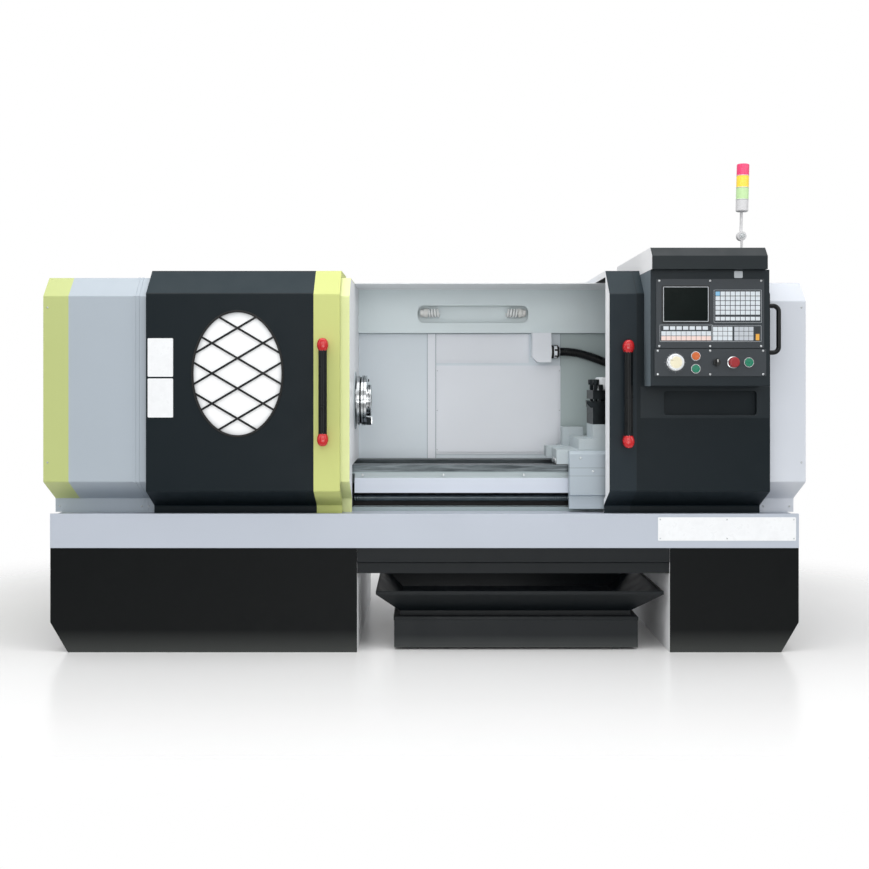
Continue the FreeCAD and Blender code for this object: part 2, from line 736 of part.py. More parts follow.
def electrical_cabinet():
    """Steel cabinet behind the rear wall, open at its back, with two hinge pins."""
    x0, x1, d0, d1 = cabinet
    z0, z1 = deck_z, deck_z + cabinet_height
    t = cabinet_sheet
    body = box(x0, x1, d0, d1, z0, z1).cut(box(x0 + t, x1 - t, d0 + t, d1 + 1, z0 + t, z1 - t))
    hx, hd = hinge_axis()
    for z in hinge_heights():
        body = body.fuse(box(x1 - 1, hx, d1 - 40, d1 - 34, z - 30, z - slide_gap))
        body = body.fuse(box(hx - hinge_r, hx, d1 - 40, hd, z - 30, z - slide_gap))
        body = body.fuse(rod_z(hx, hd, z - 30, z - slide_gap, hinge_r))
        body = body.fuse(rod_z(hx, hd, z - 1, z + 58.0, hinge_pin_r))
    return body.removeSplitter()


def hinge_axis():
    return cabinet[1] + 7.0, cabinet[3] + cabinet_door_thick


def hinge_heights():
    return (deck_z + 160.0, deck_z + cabinet_height - 200.0)


def cabinet_door():
    """Folded door with two hinge knuckles and a flush lock plate."""
    x0, x1, d0, d1 = cabinet
    z0, z1 = deck_z + 6.0, deck_z + cabinet_height - 3.0
    a, b = d1 + slide_gap, d1 + cabinet_door_thick
    t = cabinet_sheet
    body = box(x0 + 2, x1 - 2, a, b, z0, z1).cut(box(x0 + 20, x1 - 20, a - 1, b - t, z0 + 18, z1 - 18))
    hx, hd = hinge_axis()
    for z in hinge_heights():
        body = body.fuse(box(x1 - 3, hx, b - 5, b, z, z + 60))
        body = body.fuse(rod_z(hx, hd, z, z + 60, hinge_r))
        body = body.cut(rod_z(hx, hd, z - 1, z + 61, hinge_pin_r + shaft_gap))
    body = body.fuse(plate_y(x0 + 30, x0 + 62, (z0 + z1) / 2 - 70, (z0 + z1) / 2 + 70, b - 1, b + 12, 8.0))
    return body.removeSplitter()


# ================================================================ sliding doors
def door_outline(roof_back):
    top = cover_top + door_rise
    return [(door_foot_d, deck_z + slide_gap), (door_foot_d, deck_z + door_foot_h),
            (door_front_d, deck_z + door_slope_h), (door_front_d, top - door_chamfer_h),
            (door_front_d + door_chamfer_d, top), (roof_back, top)]


def side_return(x0, x1, roof_back, depth):
    """Folded side of a door: a strip behind its skin, shallower at the foot and under the roof."""
    outline = door_outline(roof_back)
    slope = min(depth, foot_return)
    closed = outline + [(roof_back, deck_z)]
    inner = inset(closed, [foot_return, slope, depth, chamfer_return, roof_return, 0.0, 0.0])
    inner[-1] = (roof_back + 1, deck_z - 1)
    inner[-2] = (roof_back + 1, inner[-2][1])
    inner[0] = (inner[0][0], deck_z - 1)
    ring = prism_x(x0, x1, closed).cut(prism_x(x0 - 1, x1 + 1, inner))
    beyond = box(x0 - 1, x1 + 1, door_foot_d + door_sheet, roof_back + 1, deck_z - 1, way_z + 60.0)
    return ring.cut(beyond)


def door_shell(x0, x1, roof_back, left_depth, right_depth):
    """Skin of a door, its two folded sides and the strip that it slides on along the roof."""
    t = door_sheet
    outline = door_outline(roof_back)
    closed = outline + [(roof_back, deck_z)]
    radii = [0] + [bend_r] * 4 + [0, 0]
    inner = inset(closed, [t] * 5 + [-1.0, 0.0])
    inner[0] = (inner[0][0], deck_z - 1)
    inner[-1] = (roof_back + 1, deck_z - 1)
    skin = prism_x(x0, x1, closed, radii)
    skin = skin.cut(prism_x(x0 - 1, x1 + 1, inner, [0] + [bend_r - t] * 4 + [0, 0]))
    skin = skin.cut(box(x0 - 1, x1 + 1, door_foot_d - 50, roof_back + 1, deck_z - 2, deck_z + slide_gap))
    outer = prism_x(x0, x1, closed, radii)
    sides = [side_return(x0, x0 + t, roof_back, left_depth).common(outer),
             side_return(x1 - t, x1, roof_back, right_depth).common(outer)]
    guide = box(x0 + 40, x1 - 40, roof_front_d + 13, roof_front_d + 25, cover_top + slide_gap, cover_top + door_rise - t + 0.5)
    whole = union([skin, guide] + sides)
    return whole.cut(box(x0 - 1, x1 + 1, door_foot_d - 60, roof_back + 1, deck_z - 2, deck_z + slide_gap))


def ellipse_y(d0, d1, rx, rz):
    """An oval block that faces the operator, centred on the window."""
    curve = Part.Ellipse(V(0, 0, 0), rz, rx).toShape()
    face = Part.Face(Part.Wire(curve))
    face.rotate(V(0, 0, 0), V(0, 0, 1), 90)
    face.rotate(V(0, 0, 0), V(1, 0, 0), 90)
    face.translate(V(window_x, front_y + d0, window_z))
    return face.extrude(V(0, d1 - d0, 0))


def left_door_shape():
    skin = door_shell(left_door[0], left_door[1], left_roof_back, door_return, door_return)
    return skin.cut(ellipse_y(door_front_d - 5, door_front_d + 10, window_rx, window_rz))


def window_pane():
    d = door_front_d + door_sheet
    return ellipse_y(d, d + pane_thick, window_rx + pane_lap, window_rz + pane_lap)


def window_grille():
    """Crossed bars cut to the window's oval, with a thin oval rim."""
    d0, d1 = door_front_d - 2.0, door_front_d + door_sheet
    slope = math.atan2(grille_pitch / 2, grille_half_width)
    bars = []
    for k in range(-2, 7):
        z = grille_first - k * grille_pitch
        for sign in (1.0, -1.0):
            bar = box(window_x - 400, window_x + 400, d0, d1, z - grille_bar / 2, z + grille_bar / 2)
            bar.rotate(V(window_x, front_y, z), V(0, 1, 0), sign * math.degrees(slope))
            bars.append(bar)
    rim = ellipse_y(d0, d1, window_rx - 0.5, window_rz - 0.5).cut(ellipse_y(d0 - 1, d1 + 1, window_rx - 5, window_rz - 5))
    lattice = bars[0].fuse(bars[1:]).common(ellipse_y(d0, d1, window_rx - 3, window_rz - 3))
    return lattice.fuse(rim).removeSplitter()


def door_handle(at):
    """Upright grip between two domed end caps that stand on the door."""
    x, z0 = at
    z1 = z0 + handle_length
    wide, tall = handle_end
    front = door_front_d - handle_reach
    axis_d = front + handle_bar_r
    parts = [rod_z(x, axis_d, z0 + tall * 0.6, z1 - tall * 0.6, handle_bar_r)]
    for low, high, is_top in ((z0, z0 + tall, False), (z1 - tall, z1, True)):
        cap = box(x - wide / 2, x + wide / 2, front - 3, door_front_d, low, high)
        edges = [e for e in cap.Edges if e.BoundBox.YMax < front_y + front or e.BoundBox.YLength > 20]
        parts.append(cap.makeFillet(wide * 0.3, edges))
    return union(parts)


def right_door_shape():
    """Right door with a shallow pocket below the control box."""
    body = door_shell(right_door[0], right_door[1], right_roof_back, right_door_return, door_return)
    x0, x1, z0, z1 = pocket
    t = door_sheet
    cup = plate_y(x0 - t, x1 + t, z0 - t, z1 + t, door_front_d, door_front_d + pocket_deep, 12.0 + t)
    body = body.fuse(cup).cut(plate_y(x0, x1, z0, z1, door_front_d - 1, door_front_d + pocket_deep - t, 12.0))
    return body.removeSplitter()


# ================================================================ control box
def control_box():
    """Sheet box on the right door's front, open behind the two panels and towards the door."""
    x0, x1 = control_x
    t = box_sheet
    top = cover_top + door_rise
    touch_d = door_front_d + door_chamfer_d * (hood_bottom - (top - door_chamfer_h)) / door_chamfer_h
    outline = [(control_front_d, control_bottom), (control_front_d, hood_bottom), (touch_d, hood_bottom),
               (door_front_d, top - door_chamfer_h), (door_front_d, control_bottom)]
    body = prism_x(x0, x1, outline, [4, 0, 0, 0, 0])
    room = inset(outline, [t, t, -1.0, -1.0, t])
    body = body.cut(prism_x(x0 + t, x1 - t, room))
    for a, b, c, e in (upper_panel_box, lower_panel_box):
        lap = panel_lap
        body = body.cut(box(a + lap, b - lap, control_front_d - 1, control_front_d + t + 1, c + lap, e - lap))
    skin = prism_x(x0 - 1, x1 + 1, [(p[0], p[1]) for p in door_solid_outline()])
    return body.cut(skin)


def door_solid_outline():
    """The space behind the door's skin, used to trim what stands on the door."""
    return door_outline(right_roof_back) + [(right_roof_back, deck_z)]


def control_hood():
    """Sheet hood over the control box and along the door's roof."""
    x0, x1 = hood_x
    t = box_sheet
    z0, z1 = hood_bottom, hood_bottom + hood_height
    outline = [(hood_front_d, z0), (hood_front_d, z1 - hood_chamfer), (hood_front_d + hood_chamfer, z1),
               (hood_back_d, z1), (hood_back_d, z0)]
    body = prism_x(x0, x1, outline, [0, 4, 4, 4, 0])
    room = inset(outline, [t, t, t, t, -1.0])
    body = body.cut(prism_x(x0 + t, x1 - t, room))
    rim = prism_x(x0 + t, x1 - t, [(hood_front_d + t, z0), (control_front_d - 0.2, z0), (control_front_d - 0.2, z0 + t), (hood_front_d + t, z0 + t)])
    return union([body, rim]).cut(prism_x(x0 - 1, x1 + 1, door_solid_outline()))


def upper_panel():
    a, b, c, e = upper_panel_box
    front = control_front_d - panel_thick
    plate = plate_y(a, b, c, e, front, control_front_d, 4.0)
    return plate.cut(box(screen[0], screen[1], front - 1, front + screen_deep, screen[2], screen[3]))


def keypad():
    """All the keys of the upper panel, as separate low blocks."""
    front = control_front_d - panel_thick
    keys = []
    for x0, x1, z0, z1, columns, rows, fill in key_blocks:
        wide, tall = (x1 - x0) / columns, (z1 - z0) / rows
        for i in range(columns):
            for j in range(rows):
                x, z = x0 + (i + 0.5) * wide, z0 + (j + 0.5) * tall
                half_w, half_h = wide * fill / 2, tall * fill / 2
                keys.append(box(x - half_w, x + half_w, front - key_thick, front, z - half_h, z + half_h))
    return Part.makeCompound(keys)


def press_buttons():
    """Name, x, z and cap radius of each press button."""
    return (("orange_button", small_button_x, control_z + small_button_split, small_button_r),
            ("green_button", small_button_x, control_z - small_button_split, small_button_r),
            ("start_button", start_x, control_z, start_r))


def lower_panel():
    """Panel with a bezel and a stem hole for each control."""
    a, b, c, e = lower_panel_box
    front = control_front_d - panel_thick
    body = plate_y(a, b, c, e, front, control_front_d, 4.0)
    places = [(x, z, r) for _, x, z, r in press_buttons()]
    for x, z, r in places:
        ring = rod_y(x, front - bezel_height, front + 1, z, r + bezel_wall)
        body = body.fuse(ring.cut(rod_y(x, front - bezel_height - 1, front, z, r + stem_gap)))
    for x, z, r in ((estop_x, control_z, stem_r + 4), (selector_x, control_z, stem_r + 5), (pulse_wheel_x, control_z, stem_r + 14)):
        body = body.fuse(rod_y(x, front - wheel_boss + 2, front + 1, z, r))
    for x, z, _ in places + [(estop_x, control_z, 0), (selector_x, control_z, 0), (pulse_wheel_x, control_z, 0)]:
        body = body.cut(rod_y(x, front - 20, control_front_d + 1, z, stem_r + stem_gap))
    return body.removeSplitter()


def press_button(x, z, r):
    """Flat cap that sinks into its bezel, on a stem."""
    front = control_front_d - panel_thick
    back = front - button_travel - 0.6
    cap = rod_y(x, back - 5.0, back, z, r)
    cap = cap.makeFillet(1.5, [ed for ed in cap.Edges if abs(ed.BoundBox.YMax - (front_y + back - 5.0)) < 0.01])
    return union([cap, rod_y(x, back - 1, control_front_d + 14, z, stem_r)])


def estop_button():
    """Mushroom head on a stem."""
    front = control_front_d - panel_thick
    back = front - wheel_boss + 2 - 5.6
    cap = rod_y(estop_x, back - 14.0, back, control_z, estop_r)
    cap = cap.makeFillet(6.0, [ed for ed in cap.Edges if abs(ed.BoundBox.YMax - (front_y + back - 14.0)) < 0.01])
    return union([cap, rod_y(estop_x, back - 1, control_front_d + 14, control_z, stem_r)])


def selector_knob():
    """Round knob with a raised grip bar."""
    front = control_front_d - panel_thick
    back = front - wheel_boss + 2 - slide_gap
    disc = rod_y(selector_x, back - 6, back, control_z, selector_r)
    grip = plate_y(selector_x - 5, selector_x + 5, control_z - selector_r + 1, control_z + selector_r - 1, back - 17, back - 5, 3.0)
    return union([disc, grip, rod_y(selector_x, back - 1, control_front_d + 14, control_z, stem_r)])


def pulse_wheel():
    """Dial wheel with a small finger knob near its rim."""
    front = control_front_d - panel_thick
    back = front - wheel_boss + 2 - slide_gap
    disc = rod_y(pulse_wheel_x, back - 12, back, control_z, pulse_wheel_r)
    disc = disc.makeFillet(2.5, [ed for ed in disc.Edges if abs(ed.BoundBox.YMax - (front_y + back - 12)) < 0.01])
    knob = rod_y(pulse_wheel_x - 14, hood_front_d - 5, back - 11, control_z + 14, 6.0)
    return union([disc, knob, rod_y(pulse_wheel_x, back - 1, control_front_d + 14, control_z, stem_r)])


def side_handle_shape():
    """Bent round grip on the control box's right side, with two flanges."""
    x, z0, z1, d = side_handle
    wall = control_x[1]
    points = [V(wall, front_y + d, z1 - side_handle_r), V(x, front_y + d, z1 - side_handle_r),
              V(x, front_y + d, z0 + side_handle_r), V(wall, front_y + d, z0 + side_handle_r)]
    r = side_handle_bend
    edges, start = [], points[0]
    for i in (1, 2):
        back = (points[i - 1] - points[i]).normalize()
        ahead = (points[i + 1] - points[i]).normalize()
        first, last = points[i] + back * r, points[i] + ahead * r
        tip = points[i] + (back + ahead) * (r - r / math.sqrt(2))
        edges += [Part.makeLine(start, first), Part.Arc(first, tip, last).toShape()]
        start = last
    edges.append(Part.makeLine(start, points[-1]))
    grip = tube_on(Part.Wire(edges), side_handle_r)
    flanges = [rod_x(wall, wall + 5, d, p.z, side_handle_r + 7) for p in (points[0], points[-1])]
    return union([grip] + flanges)


# ================================================================ signal tower
def tower_z(rise):
    return hood_bottom + hood_height + rise


def lean(shape):
    """Tilt a piece of the tower about its folding hub."""
    shape.rotate(V(tower_x, front_y + tower_d, tower_z(tower_hub_rise)), V(0, 1, 0), tower_lean)
    return shape


def tower_hub():
    """Flange, stem and the fixed half of the folding hub."""
    z = tower_z(tower_hub_rise)
    return union([
        rod_z(tower_x, tower_d, tower_z(0), tower_z(5), tower_hub_r),
        rod_z(tower_x, tower_d - 6, tower_z(4), z - tower_hub_r + 4, 5.0),
        rod_y(tower_x, tower_d - tower_hub_half, tower_d - slide_gap / 2, z, tower_hub_r)])


def tower_pole():
    """Moving half of the hub, the pole and the grey cup below the lamps."""
    z = tower_z(tower_hub_rise)
    base = tower_z(tower_base_rise)
    cup = rod_z(tower_x, tower_d, base, base + tower_cup, tower_lamp_r)
    cup = cup.makeFillet(5.0, [e for e in cup.Edges if abs(e.BoundBox.ZMax - base) < 0.01])
    return lean(union([
        rod_y(tower_x, tower_d + slide_gap / 2, tower_d + tower_hub_half, z, tower_hub_r),
        rod_z(tower_x, tower_d + 6, z + tower_hub_r - 6, base + 5, tower_pole_r), cup]))


def tower_lamp(level):
    """One lens: a plain cylinder with a narrow neck below it."""
    z = tower_z(tower_base_rise) + tower_cup + level * tower_lamp_h
    lens = rod_z(tower_x, tower_d, z + 3, z + tower_lamp_h, tower_lamp_r)
    if level == 2:
        lens = lens.makeFillet(4.0, [e for e in lens.Edges if abs(e.BoundBox.ZMin - z - tower_lamp_h) < 0.01])
    return lean(union([lens, rod_z(tower_x, tower_d, z, z + 4, tower_lamp_r - 3)]))


# ================================================================ carriage
def apron():
    """Box in front of the saddle, with the nut of the drive screw behind it."""
    top = way_z + 60.0
    low = deck_z + 15.0
    f, b = apron_front_d, saddle_front_d
    outline = [(b, top), (f + 12, top), (f, top - 12), (f, deck_z + 73), (f + 12, deck_z + 67), (f + 12, low), (b, low)]
    body = prism_x(apron_x[0], apron_x[1], outline)
    nut_x = (apron_x[0] + apron_x[1]) / 2
    nut = box(nut_x - 40, nut_x + 40, b - 1, bed_front + bed_web_set_back - 2, deck_z + bed_lip + 4, screw_z + 20)
    return union([body, nut]).cut(rod_x(nut_x - 50, nut_x + 50, screw_d, screw_z, screw_r + shaft_gap))


def saddle():
    """Cast slide over both ways, with a forward wing and the cross screw's guard on its left."""
    z0, z1 = way_z + slide_gap, way_z + saddle_height
    guard_x, g0, g1, low, high = screw_guard
    wing_x, wing_back = saddle_wing
    return union([
        box(apron_x[0], apron_x[1], saddle_front_d, saddle_back_d, z0, z1),
        box(wing_x, apron_x[0] + 1, saddle_front_d, wing_back, z0 + 4, z1),
        box(guard_x, apron_x[0] + 1, g0, g1, way_z + low, way_z + high)])


def cross_slide():
    """Slide across the saddle, with the fixed foot of the tool post and a chip guard."""
    z0 = way_z + saddle_height + slide_gap
    z1 = z0 + cross_height
    half = post_side / 2
    x0, x1, g0, tall = chip_guard
    return union([
        box(cross_x[0], cross_x[1], cross_d[0], cross_d[1], z0, z1),
        box(x0, x1, g0, cross_d[1], z0, z0 + tall),
        box(post_x - half, post_x + half, post_d - half, post_d + half, z1 - 1, z1 + post_foot)])


def post_levels():
    """Heights of the turning head: its underside, the slots' floor and roof, its top."""
    low = way_z + saddle_height + slide_gap + cross_height + post_foot + slide_gap
    slot = spindle_z - 2.0 - tool_side
    return low, slot, slot + post_slot, slot + post_slot + post_top


def tool_post():
    """Four-station head: two square plates on a core, clamp bolts and a round cap."""
    low, slot, roof, top = post_levels()
    half, core = post_side / 2, post_core / 2
    parts = [
        box(post_x - half, post_x + half, post_d - half, post_d + half, low, slot),
        box(post_x - core, post_x + core, post_d - core, post_d + core, slot - 1, roof + 1),
        box(post_x - half, post_x + half, post_d - half, post_d + half, roof, top),
        rod_z(post_x, post_d, top - 1, top + post_cap_h, post_cap_r)]
    inset_bolt = half - 16.0
    for along in (-55.0, 55.0):
        for x, d in ((along, -inset_bolt), (along, inset_bolt), (-inset_bolt, along), (inset_bolt, along)):
            shank = rod_z(post_x + x, post_d + d, slot + tool_side, top + 4, 7.0)
            head = box(post_x + x - 8, post_x + x + 8, post_d + d - 8, post_d + d + 8, top + 3, top + 24)
            parts += [shank, head]
    return union(parts)


def cutting_tools():
    """A square tool in each side of the head, reaching past the next corner."""
    slot = post_levels()[1]
    half = post_side / 2
    tools = []
    for turn in range(4):
        x0 = post_x - half - tool_reach
        tool = box(x0, x0 + tool_length, post_d - half, post_d - half + tool_side, slot, slot + tool_side)
        tip = box(x0 - 1, x0 + 14, post_d - half - 1, post_d - half + 14, slot + tool_side - 6, slot + tool_side + 2)
        nose = prism_z_wedge(x0, slot)
        tool = union([tool.cut(nose), tip])
        tool.rotate(V(post_x, front_y + post_d, 0), V(0, 0, 1), 90 * turn)
        tools.append(tool)
    return Part.makeCompound(tools)


def prism_z_wedge(x0, slot):
    """Relief cut at the lower front of a tool."""
    outline = [(x0 - 1, slot - 1), (x0 + 16, slot - 1), (x0 - 1, slot + tool_side - 8)]
    return prism_y(post_d - post_side / 2 - 1, post_d - post_side / 2 + tool_side + 1, outline)


# ================================================================ tailstock
def tailstock():
    """Foot on the ways, a web and the barrel that carries the quill."""
    z0 = way_z + slide_gap
    z1 = z0 + tail_foot_h
    half = tail_web / 2
    a, b = tail_foot_x
    web = [(spindle_d - half - 40, z1 - 1), (spindle_d + half + 40, z1 - 1), (spindle_d + half, spindle_z), (spindle_d - half, spindle_z)]
    parts = [box(a, b, bed_front, bed_back, z0, z1), prism_x(a + 20, b - 20, web),
             rod_x(tail_x[0], tail_x[1], spindle_d, spindle_z, tail_barrel_r)]
    body = union(parts)
    body = body.cut(rod_x(tail_x[0] - 1, tail_x[1] - quill_back_wall, spindle_d, spindle_z, quill_r + shaft_gap))
    return body.cut(rod_x(tail_x[1] - 20, tail_x[1] + 1, spindle_d, spindle_z, centre_r + shaft_gap))


def quill():
    body = rod_x(quill_nose_x, tail_x[1] - quill_back_wall - 8, spindle_d, spindle_z, quill_r)
    body = body.makeFillet(3.0, [e for e in body.Edges if abs(e.BoundBox.XMax - quill_nose_x) < 0.01])
    return body.cut(rod_x(quill_nose_x - 1, quill_nose_x + centre_shank, spindle_d, spindle_z, centre_r))


def tail_centre():
    """Dead centre: a shank in the quill and a 60 degree point."""
    shank = rod_x(quill_nose_x - 18, quill_nose_x + centre_shank, spindle_d, spindle_z, centre_r)
    reach = centre_r / math.tan(math.radians(30))
    x = quill_nose_x - 18
    point = Part.makeCone(0, centre_r, reach, V(x - reach, front_y + spindle_d, spindle_z), V(1, 0, 0))
    return union([shank, point])


def tail_wheel():
    """Spoked wheel with a grip, on a shaft in the tailstock's back wall."""
    x = tail_x[1] + 22.0
    rim = Part.makeTorus(hand_wheel_r, hand_rim_r, V(x, front_y + spindle_d, spindle_z), V(1, 0, 0))
    shaft = rod_x(tail_x[1] - quill_back_wall + 1, x, spindle_d, spindle_z, centre_r)
    hub = rod_x(tail_x[1] + 2, x + 12, spindle_d, spindle_z, 24.0)
    parts = [shaft, hub, rim]
    for angle in (90.0, 210.0, 330.0):
        spoke = Part.makeCylinder(7.0, hand_wheel_r, V(x, front_y + spindle_d, spindle_z), V(0, 0, 1))
        spoke.rotate(V(x, front_y + spindle_d, spindle_z), V(1, 0, 0), angle)
        parts.append(spoke)
    grip_z = spindle_z + hand_wheel_r
    parts.append(rod_x(x, x + 70, spindle_d, grip_z, 8.0))
    return union(parts)


# ================================================================ coolant unit
def rectangle(x0, x1, d0, d1, z):
    y0, y1 = front_y + d0, front_y + d1
    return Part.makePolygon([V(x0, y0, z), V(x1, y0, z), V(x1, y1, z), V(x0, y1, z), V(x0, y0, z)])


def chip_pan():
    """Hopper-shaped pan with an upright lip, a floor with a drain and a neck that stands on the tank."""
    x0, x1, d0, d1 = pan_top
    a, b, c, e = pan_floor
    t = sheet
    low, lip = pan_floor_z, pan_lip_z - pan_lip
    outer = Part.makeLoft([rectangle(a, b, c, e, low), rectangle(x0, x1, d0, d1, lip)], True, True)
    inner = Part.makeLoft([rectangle(a + t, b - t, c + t, e - t, low + t),
                           rectangle(x0 + t, x1 - t, d0 + t, d1 - t, lip)], True, True)
    rim = box(x0, x1, d0, d1, lip, pan_lip_z).cut(box(x0 + t, x1 - t, d0 + t, d1 - t, lip - 1, pan_lip_z + 1))
    neck = box(a, b, c, e, tank_top_z, low).cut(box(a + t, b - t, c + t, e - t, tank_top_z - 1, low - t))
    whole = union([outer.cut(inner), rim, neck])
    return whole.cut(box(*drain, tank_top_z, low + t + 1))


def coolant_tank():
    """Flat tank on two skids, with a drain opening in its lid."""
    x0, x1, d0, d1 = tank
    t = sheet
    body = box(x0, x1, d0, d1, skid_height, tank_top_z)
    body = body.cut(box(x0 + t, x1 - t, d0 + t, d1 - t, skid_height + t, tank_top_z - t))
    body = body.cut(box(*drain, tank_top_z - t - 1, tank_top_z + 1))
    skids = [box(x, x + skid_width, d0 + 20, d1 - 20, 0, skid_height) for x in (x0 + 60, x1 - 60 - skid_width)]
    return union([body] + skids)


# ================================================================ all pieces
def main():
    os.makedirs("parts", exist_ok=True)
    save("left_pedestal", pedestal(-half_base, left_leg_inner))
    save("right_pedestal", pedestal(half_base, right_leg_inner))
    save("base_tray", base_tray())
    save("front_beam", front_beam())
    save("bed", bed())
    save("bed_front_cover", bed_front_cover())
    save("drive_screw", drive_screw())
    save("feed_servo", feed_servo())
    save("headstock", headstock())
    save("spindle", spindle())
    save("spindle_plate", spindle_plate())
    save("spindle_pulley", pulley(spindle_d, spindle_z, spindle_pulley_r, spindle_r))
    save("motor_pulley", motor_pulley())
    save("spindle_motor", spindle_motor())
    save("drive_belts", drive_belts())
    save("left_end_cover", left_end_cover())
    save("headstock_cover", guard(seam_x, bulkhead_x, cover_top, False, False))
    save("right_end_cover", guard(right_cover_x, cover_end, cover_top - right_cover_drop, False, True))
    save("left_bulkhead", left_bulkhead())
    save("rear_wall", rear_wall())
    save("access_panels", access_panels())
    save("work_lamp", work_lamp())
    save("cable_boxes", cable_boxes())
    save("conduit", conduit())
    save("electrical_cabinet", electrical_cabinet())
    save("cabinet_door", cabinet_door())
    save("left_door", left_door_shape())
    save("window_pane", window_pane())
    save("window_grille", window_grille())
    save("left_handle", door_handle(left_handle_at))
    save("right_door", right_door_shape())
    save("right_handle", door_handle(right_handle_at))
    save("control_box", control_box())
    save("control_hood", control_hood())
    save("upper_panel", upper_panel())
    save("keypad", keypad())
    save("lower_panel", lower_panel())
    for name, x, z, r in press_buttons():
        save(name, press_button(x, z, r))
    save("estop_button", estop_button())
    save("selector_knob", selector_knob())
    save("pulse_wheel", pulse_wheel())
    save("side_handle", side_handle_shape())
    save("tower_hub", tower_hub())
    save("tower_pole", tower_pole())
    for level, colour in enumerate(("green", "yellow", "red")):
        save(colour + "_lamp", tower_lamp(level))
    save("apron", apron())
    save("saddle", saddle())
    save("cross_slide", cross_slide())
    save("tool_post", tool_post())
    save("cutting_tools", cutting_tools())
    save("tailstock", tailstock())
    save("quill", quill())
    save("tail_centre", tail_centre())
    save("tail_wheel", tail_wheel())
    save("chip_pan", chip_pan())
    save("coolant_tank", coolant_tank())


main()
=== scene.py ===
import bpy
import bmesh
import math
from mathutils import Matrix, Vector


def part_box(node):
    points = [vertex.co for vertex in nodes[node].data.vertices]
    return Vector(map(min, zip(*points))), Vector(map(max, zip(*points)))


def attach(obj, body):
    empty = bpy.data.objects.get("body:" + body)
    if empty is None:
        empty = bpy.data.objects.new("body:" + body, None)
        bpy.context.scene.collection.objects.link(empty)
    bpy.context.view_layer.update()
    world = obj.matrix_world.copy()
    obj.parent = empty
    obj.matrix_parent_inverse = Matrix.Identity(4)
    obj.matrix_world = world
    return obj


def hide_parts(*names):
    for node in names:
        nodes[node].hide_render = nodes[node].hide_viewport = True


# Finish and small parts of a flat-bed turning lathe. Pieces are drawn in millimetres around the
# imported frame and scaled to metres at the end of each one.
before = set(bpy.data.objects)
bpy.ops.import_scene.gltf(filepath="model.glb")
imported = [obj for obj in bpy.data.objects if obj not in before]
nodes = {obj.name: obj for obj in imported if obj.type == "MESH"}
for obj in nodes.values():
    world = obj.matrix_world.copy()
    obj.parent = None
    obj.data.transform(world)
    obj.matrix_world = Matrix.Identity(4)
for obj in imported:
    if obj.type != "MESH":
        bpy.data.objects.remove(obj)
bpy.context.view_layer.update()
mm = 0.001
print("stage: frame loaded,", len(nodes), "nodes")


def limits(nodeName):
    low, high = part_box(nodeName)
    return low / mm, high / mm


def toLinear(hexColour):
    values = []
    for i in (0, 2, 4):
        c = int(hexColour[i:i + 2], 16) / 255
        values.append(c / 12.92 if c <= 0.04045 else ((c + 0.055) / 1.055) ** 2.4)
    return (*values, 1.0)


def addNode(tree, kind, settings=None, inputs=None):
    # settings are the node's own properties; an input is a plain value or another node's output
    node = tree.nodes.new(kind)
    for key, value in (settings or {}).items():
        setattr(node, key, value)
    for key, value in (inputs or {}).items():
        if isinstance(value, bpy.types.NodeSocket):
            tree.links.new(value, node.inputs[key])
        else:
            node.inputs[key].default_value = value
    return node


def startMaterial(name, **sockets):
    material = bpy.data.materials.new(name)
    material.use_nodes = True
    tree = material.node_tree
    shader = tree.nodes["Principled BSDF"]
    for key, value in sockets.items():
        shader.inputs[key.replace("_", " ")].default_value = value
    place = addNode(tree, "ShaderNodeTexCoord").outputs["Object"]
    return material, tree, shader, place


# enamels
enamel = {
    "silver": "a6b0b9", "silverLight": "ccd1d9", "wall": "e9edf3", "header": "dde8ea", "shadedBay": "b4c2c2",
    "bayWall": "dde6ec", "black": "101a1f", "blackLow": "06090a", "lime": "b6c07c", "limeDoor": "c3ca7f", "limePale": "d8dfa0",
    "casting": "b4bec2", "white": "f4f5f7", "dust": "8b8f8c", "seam": "14181a", "fold": "97a3aa", "chamferSheen": "1e2b31",
    "cloudMm": 380.0, "peelMm": 5.0, "peelDepthMm": 0.04, "smearMm": 70.0,
}


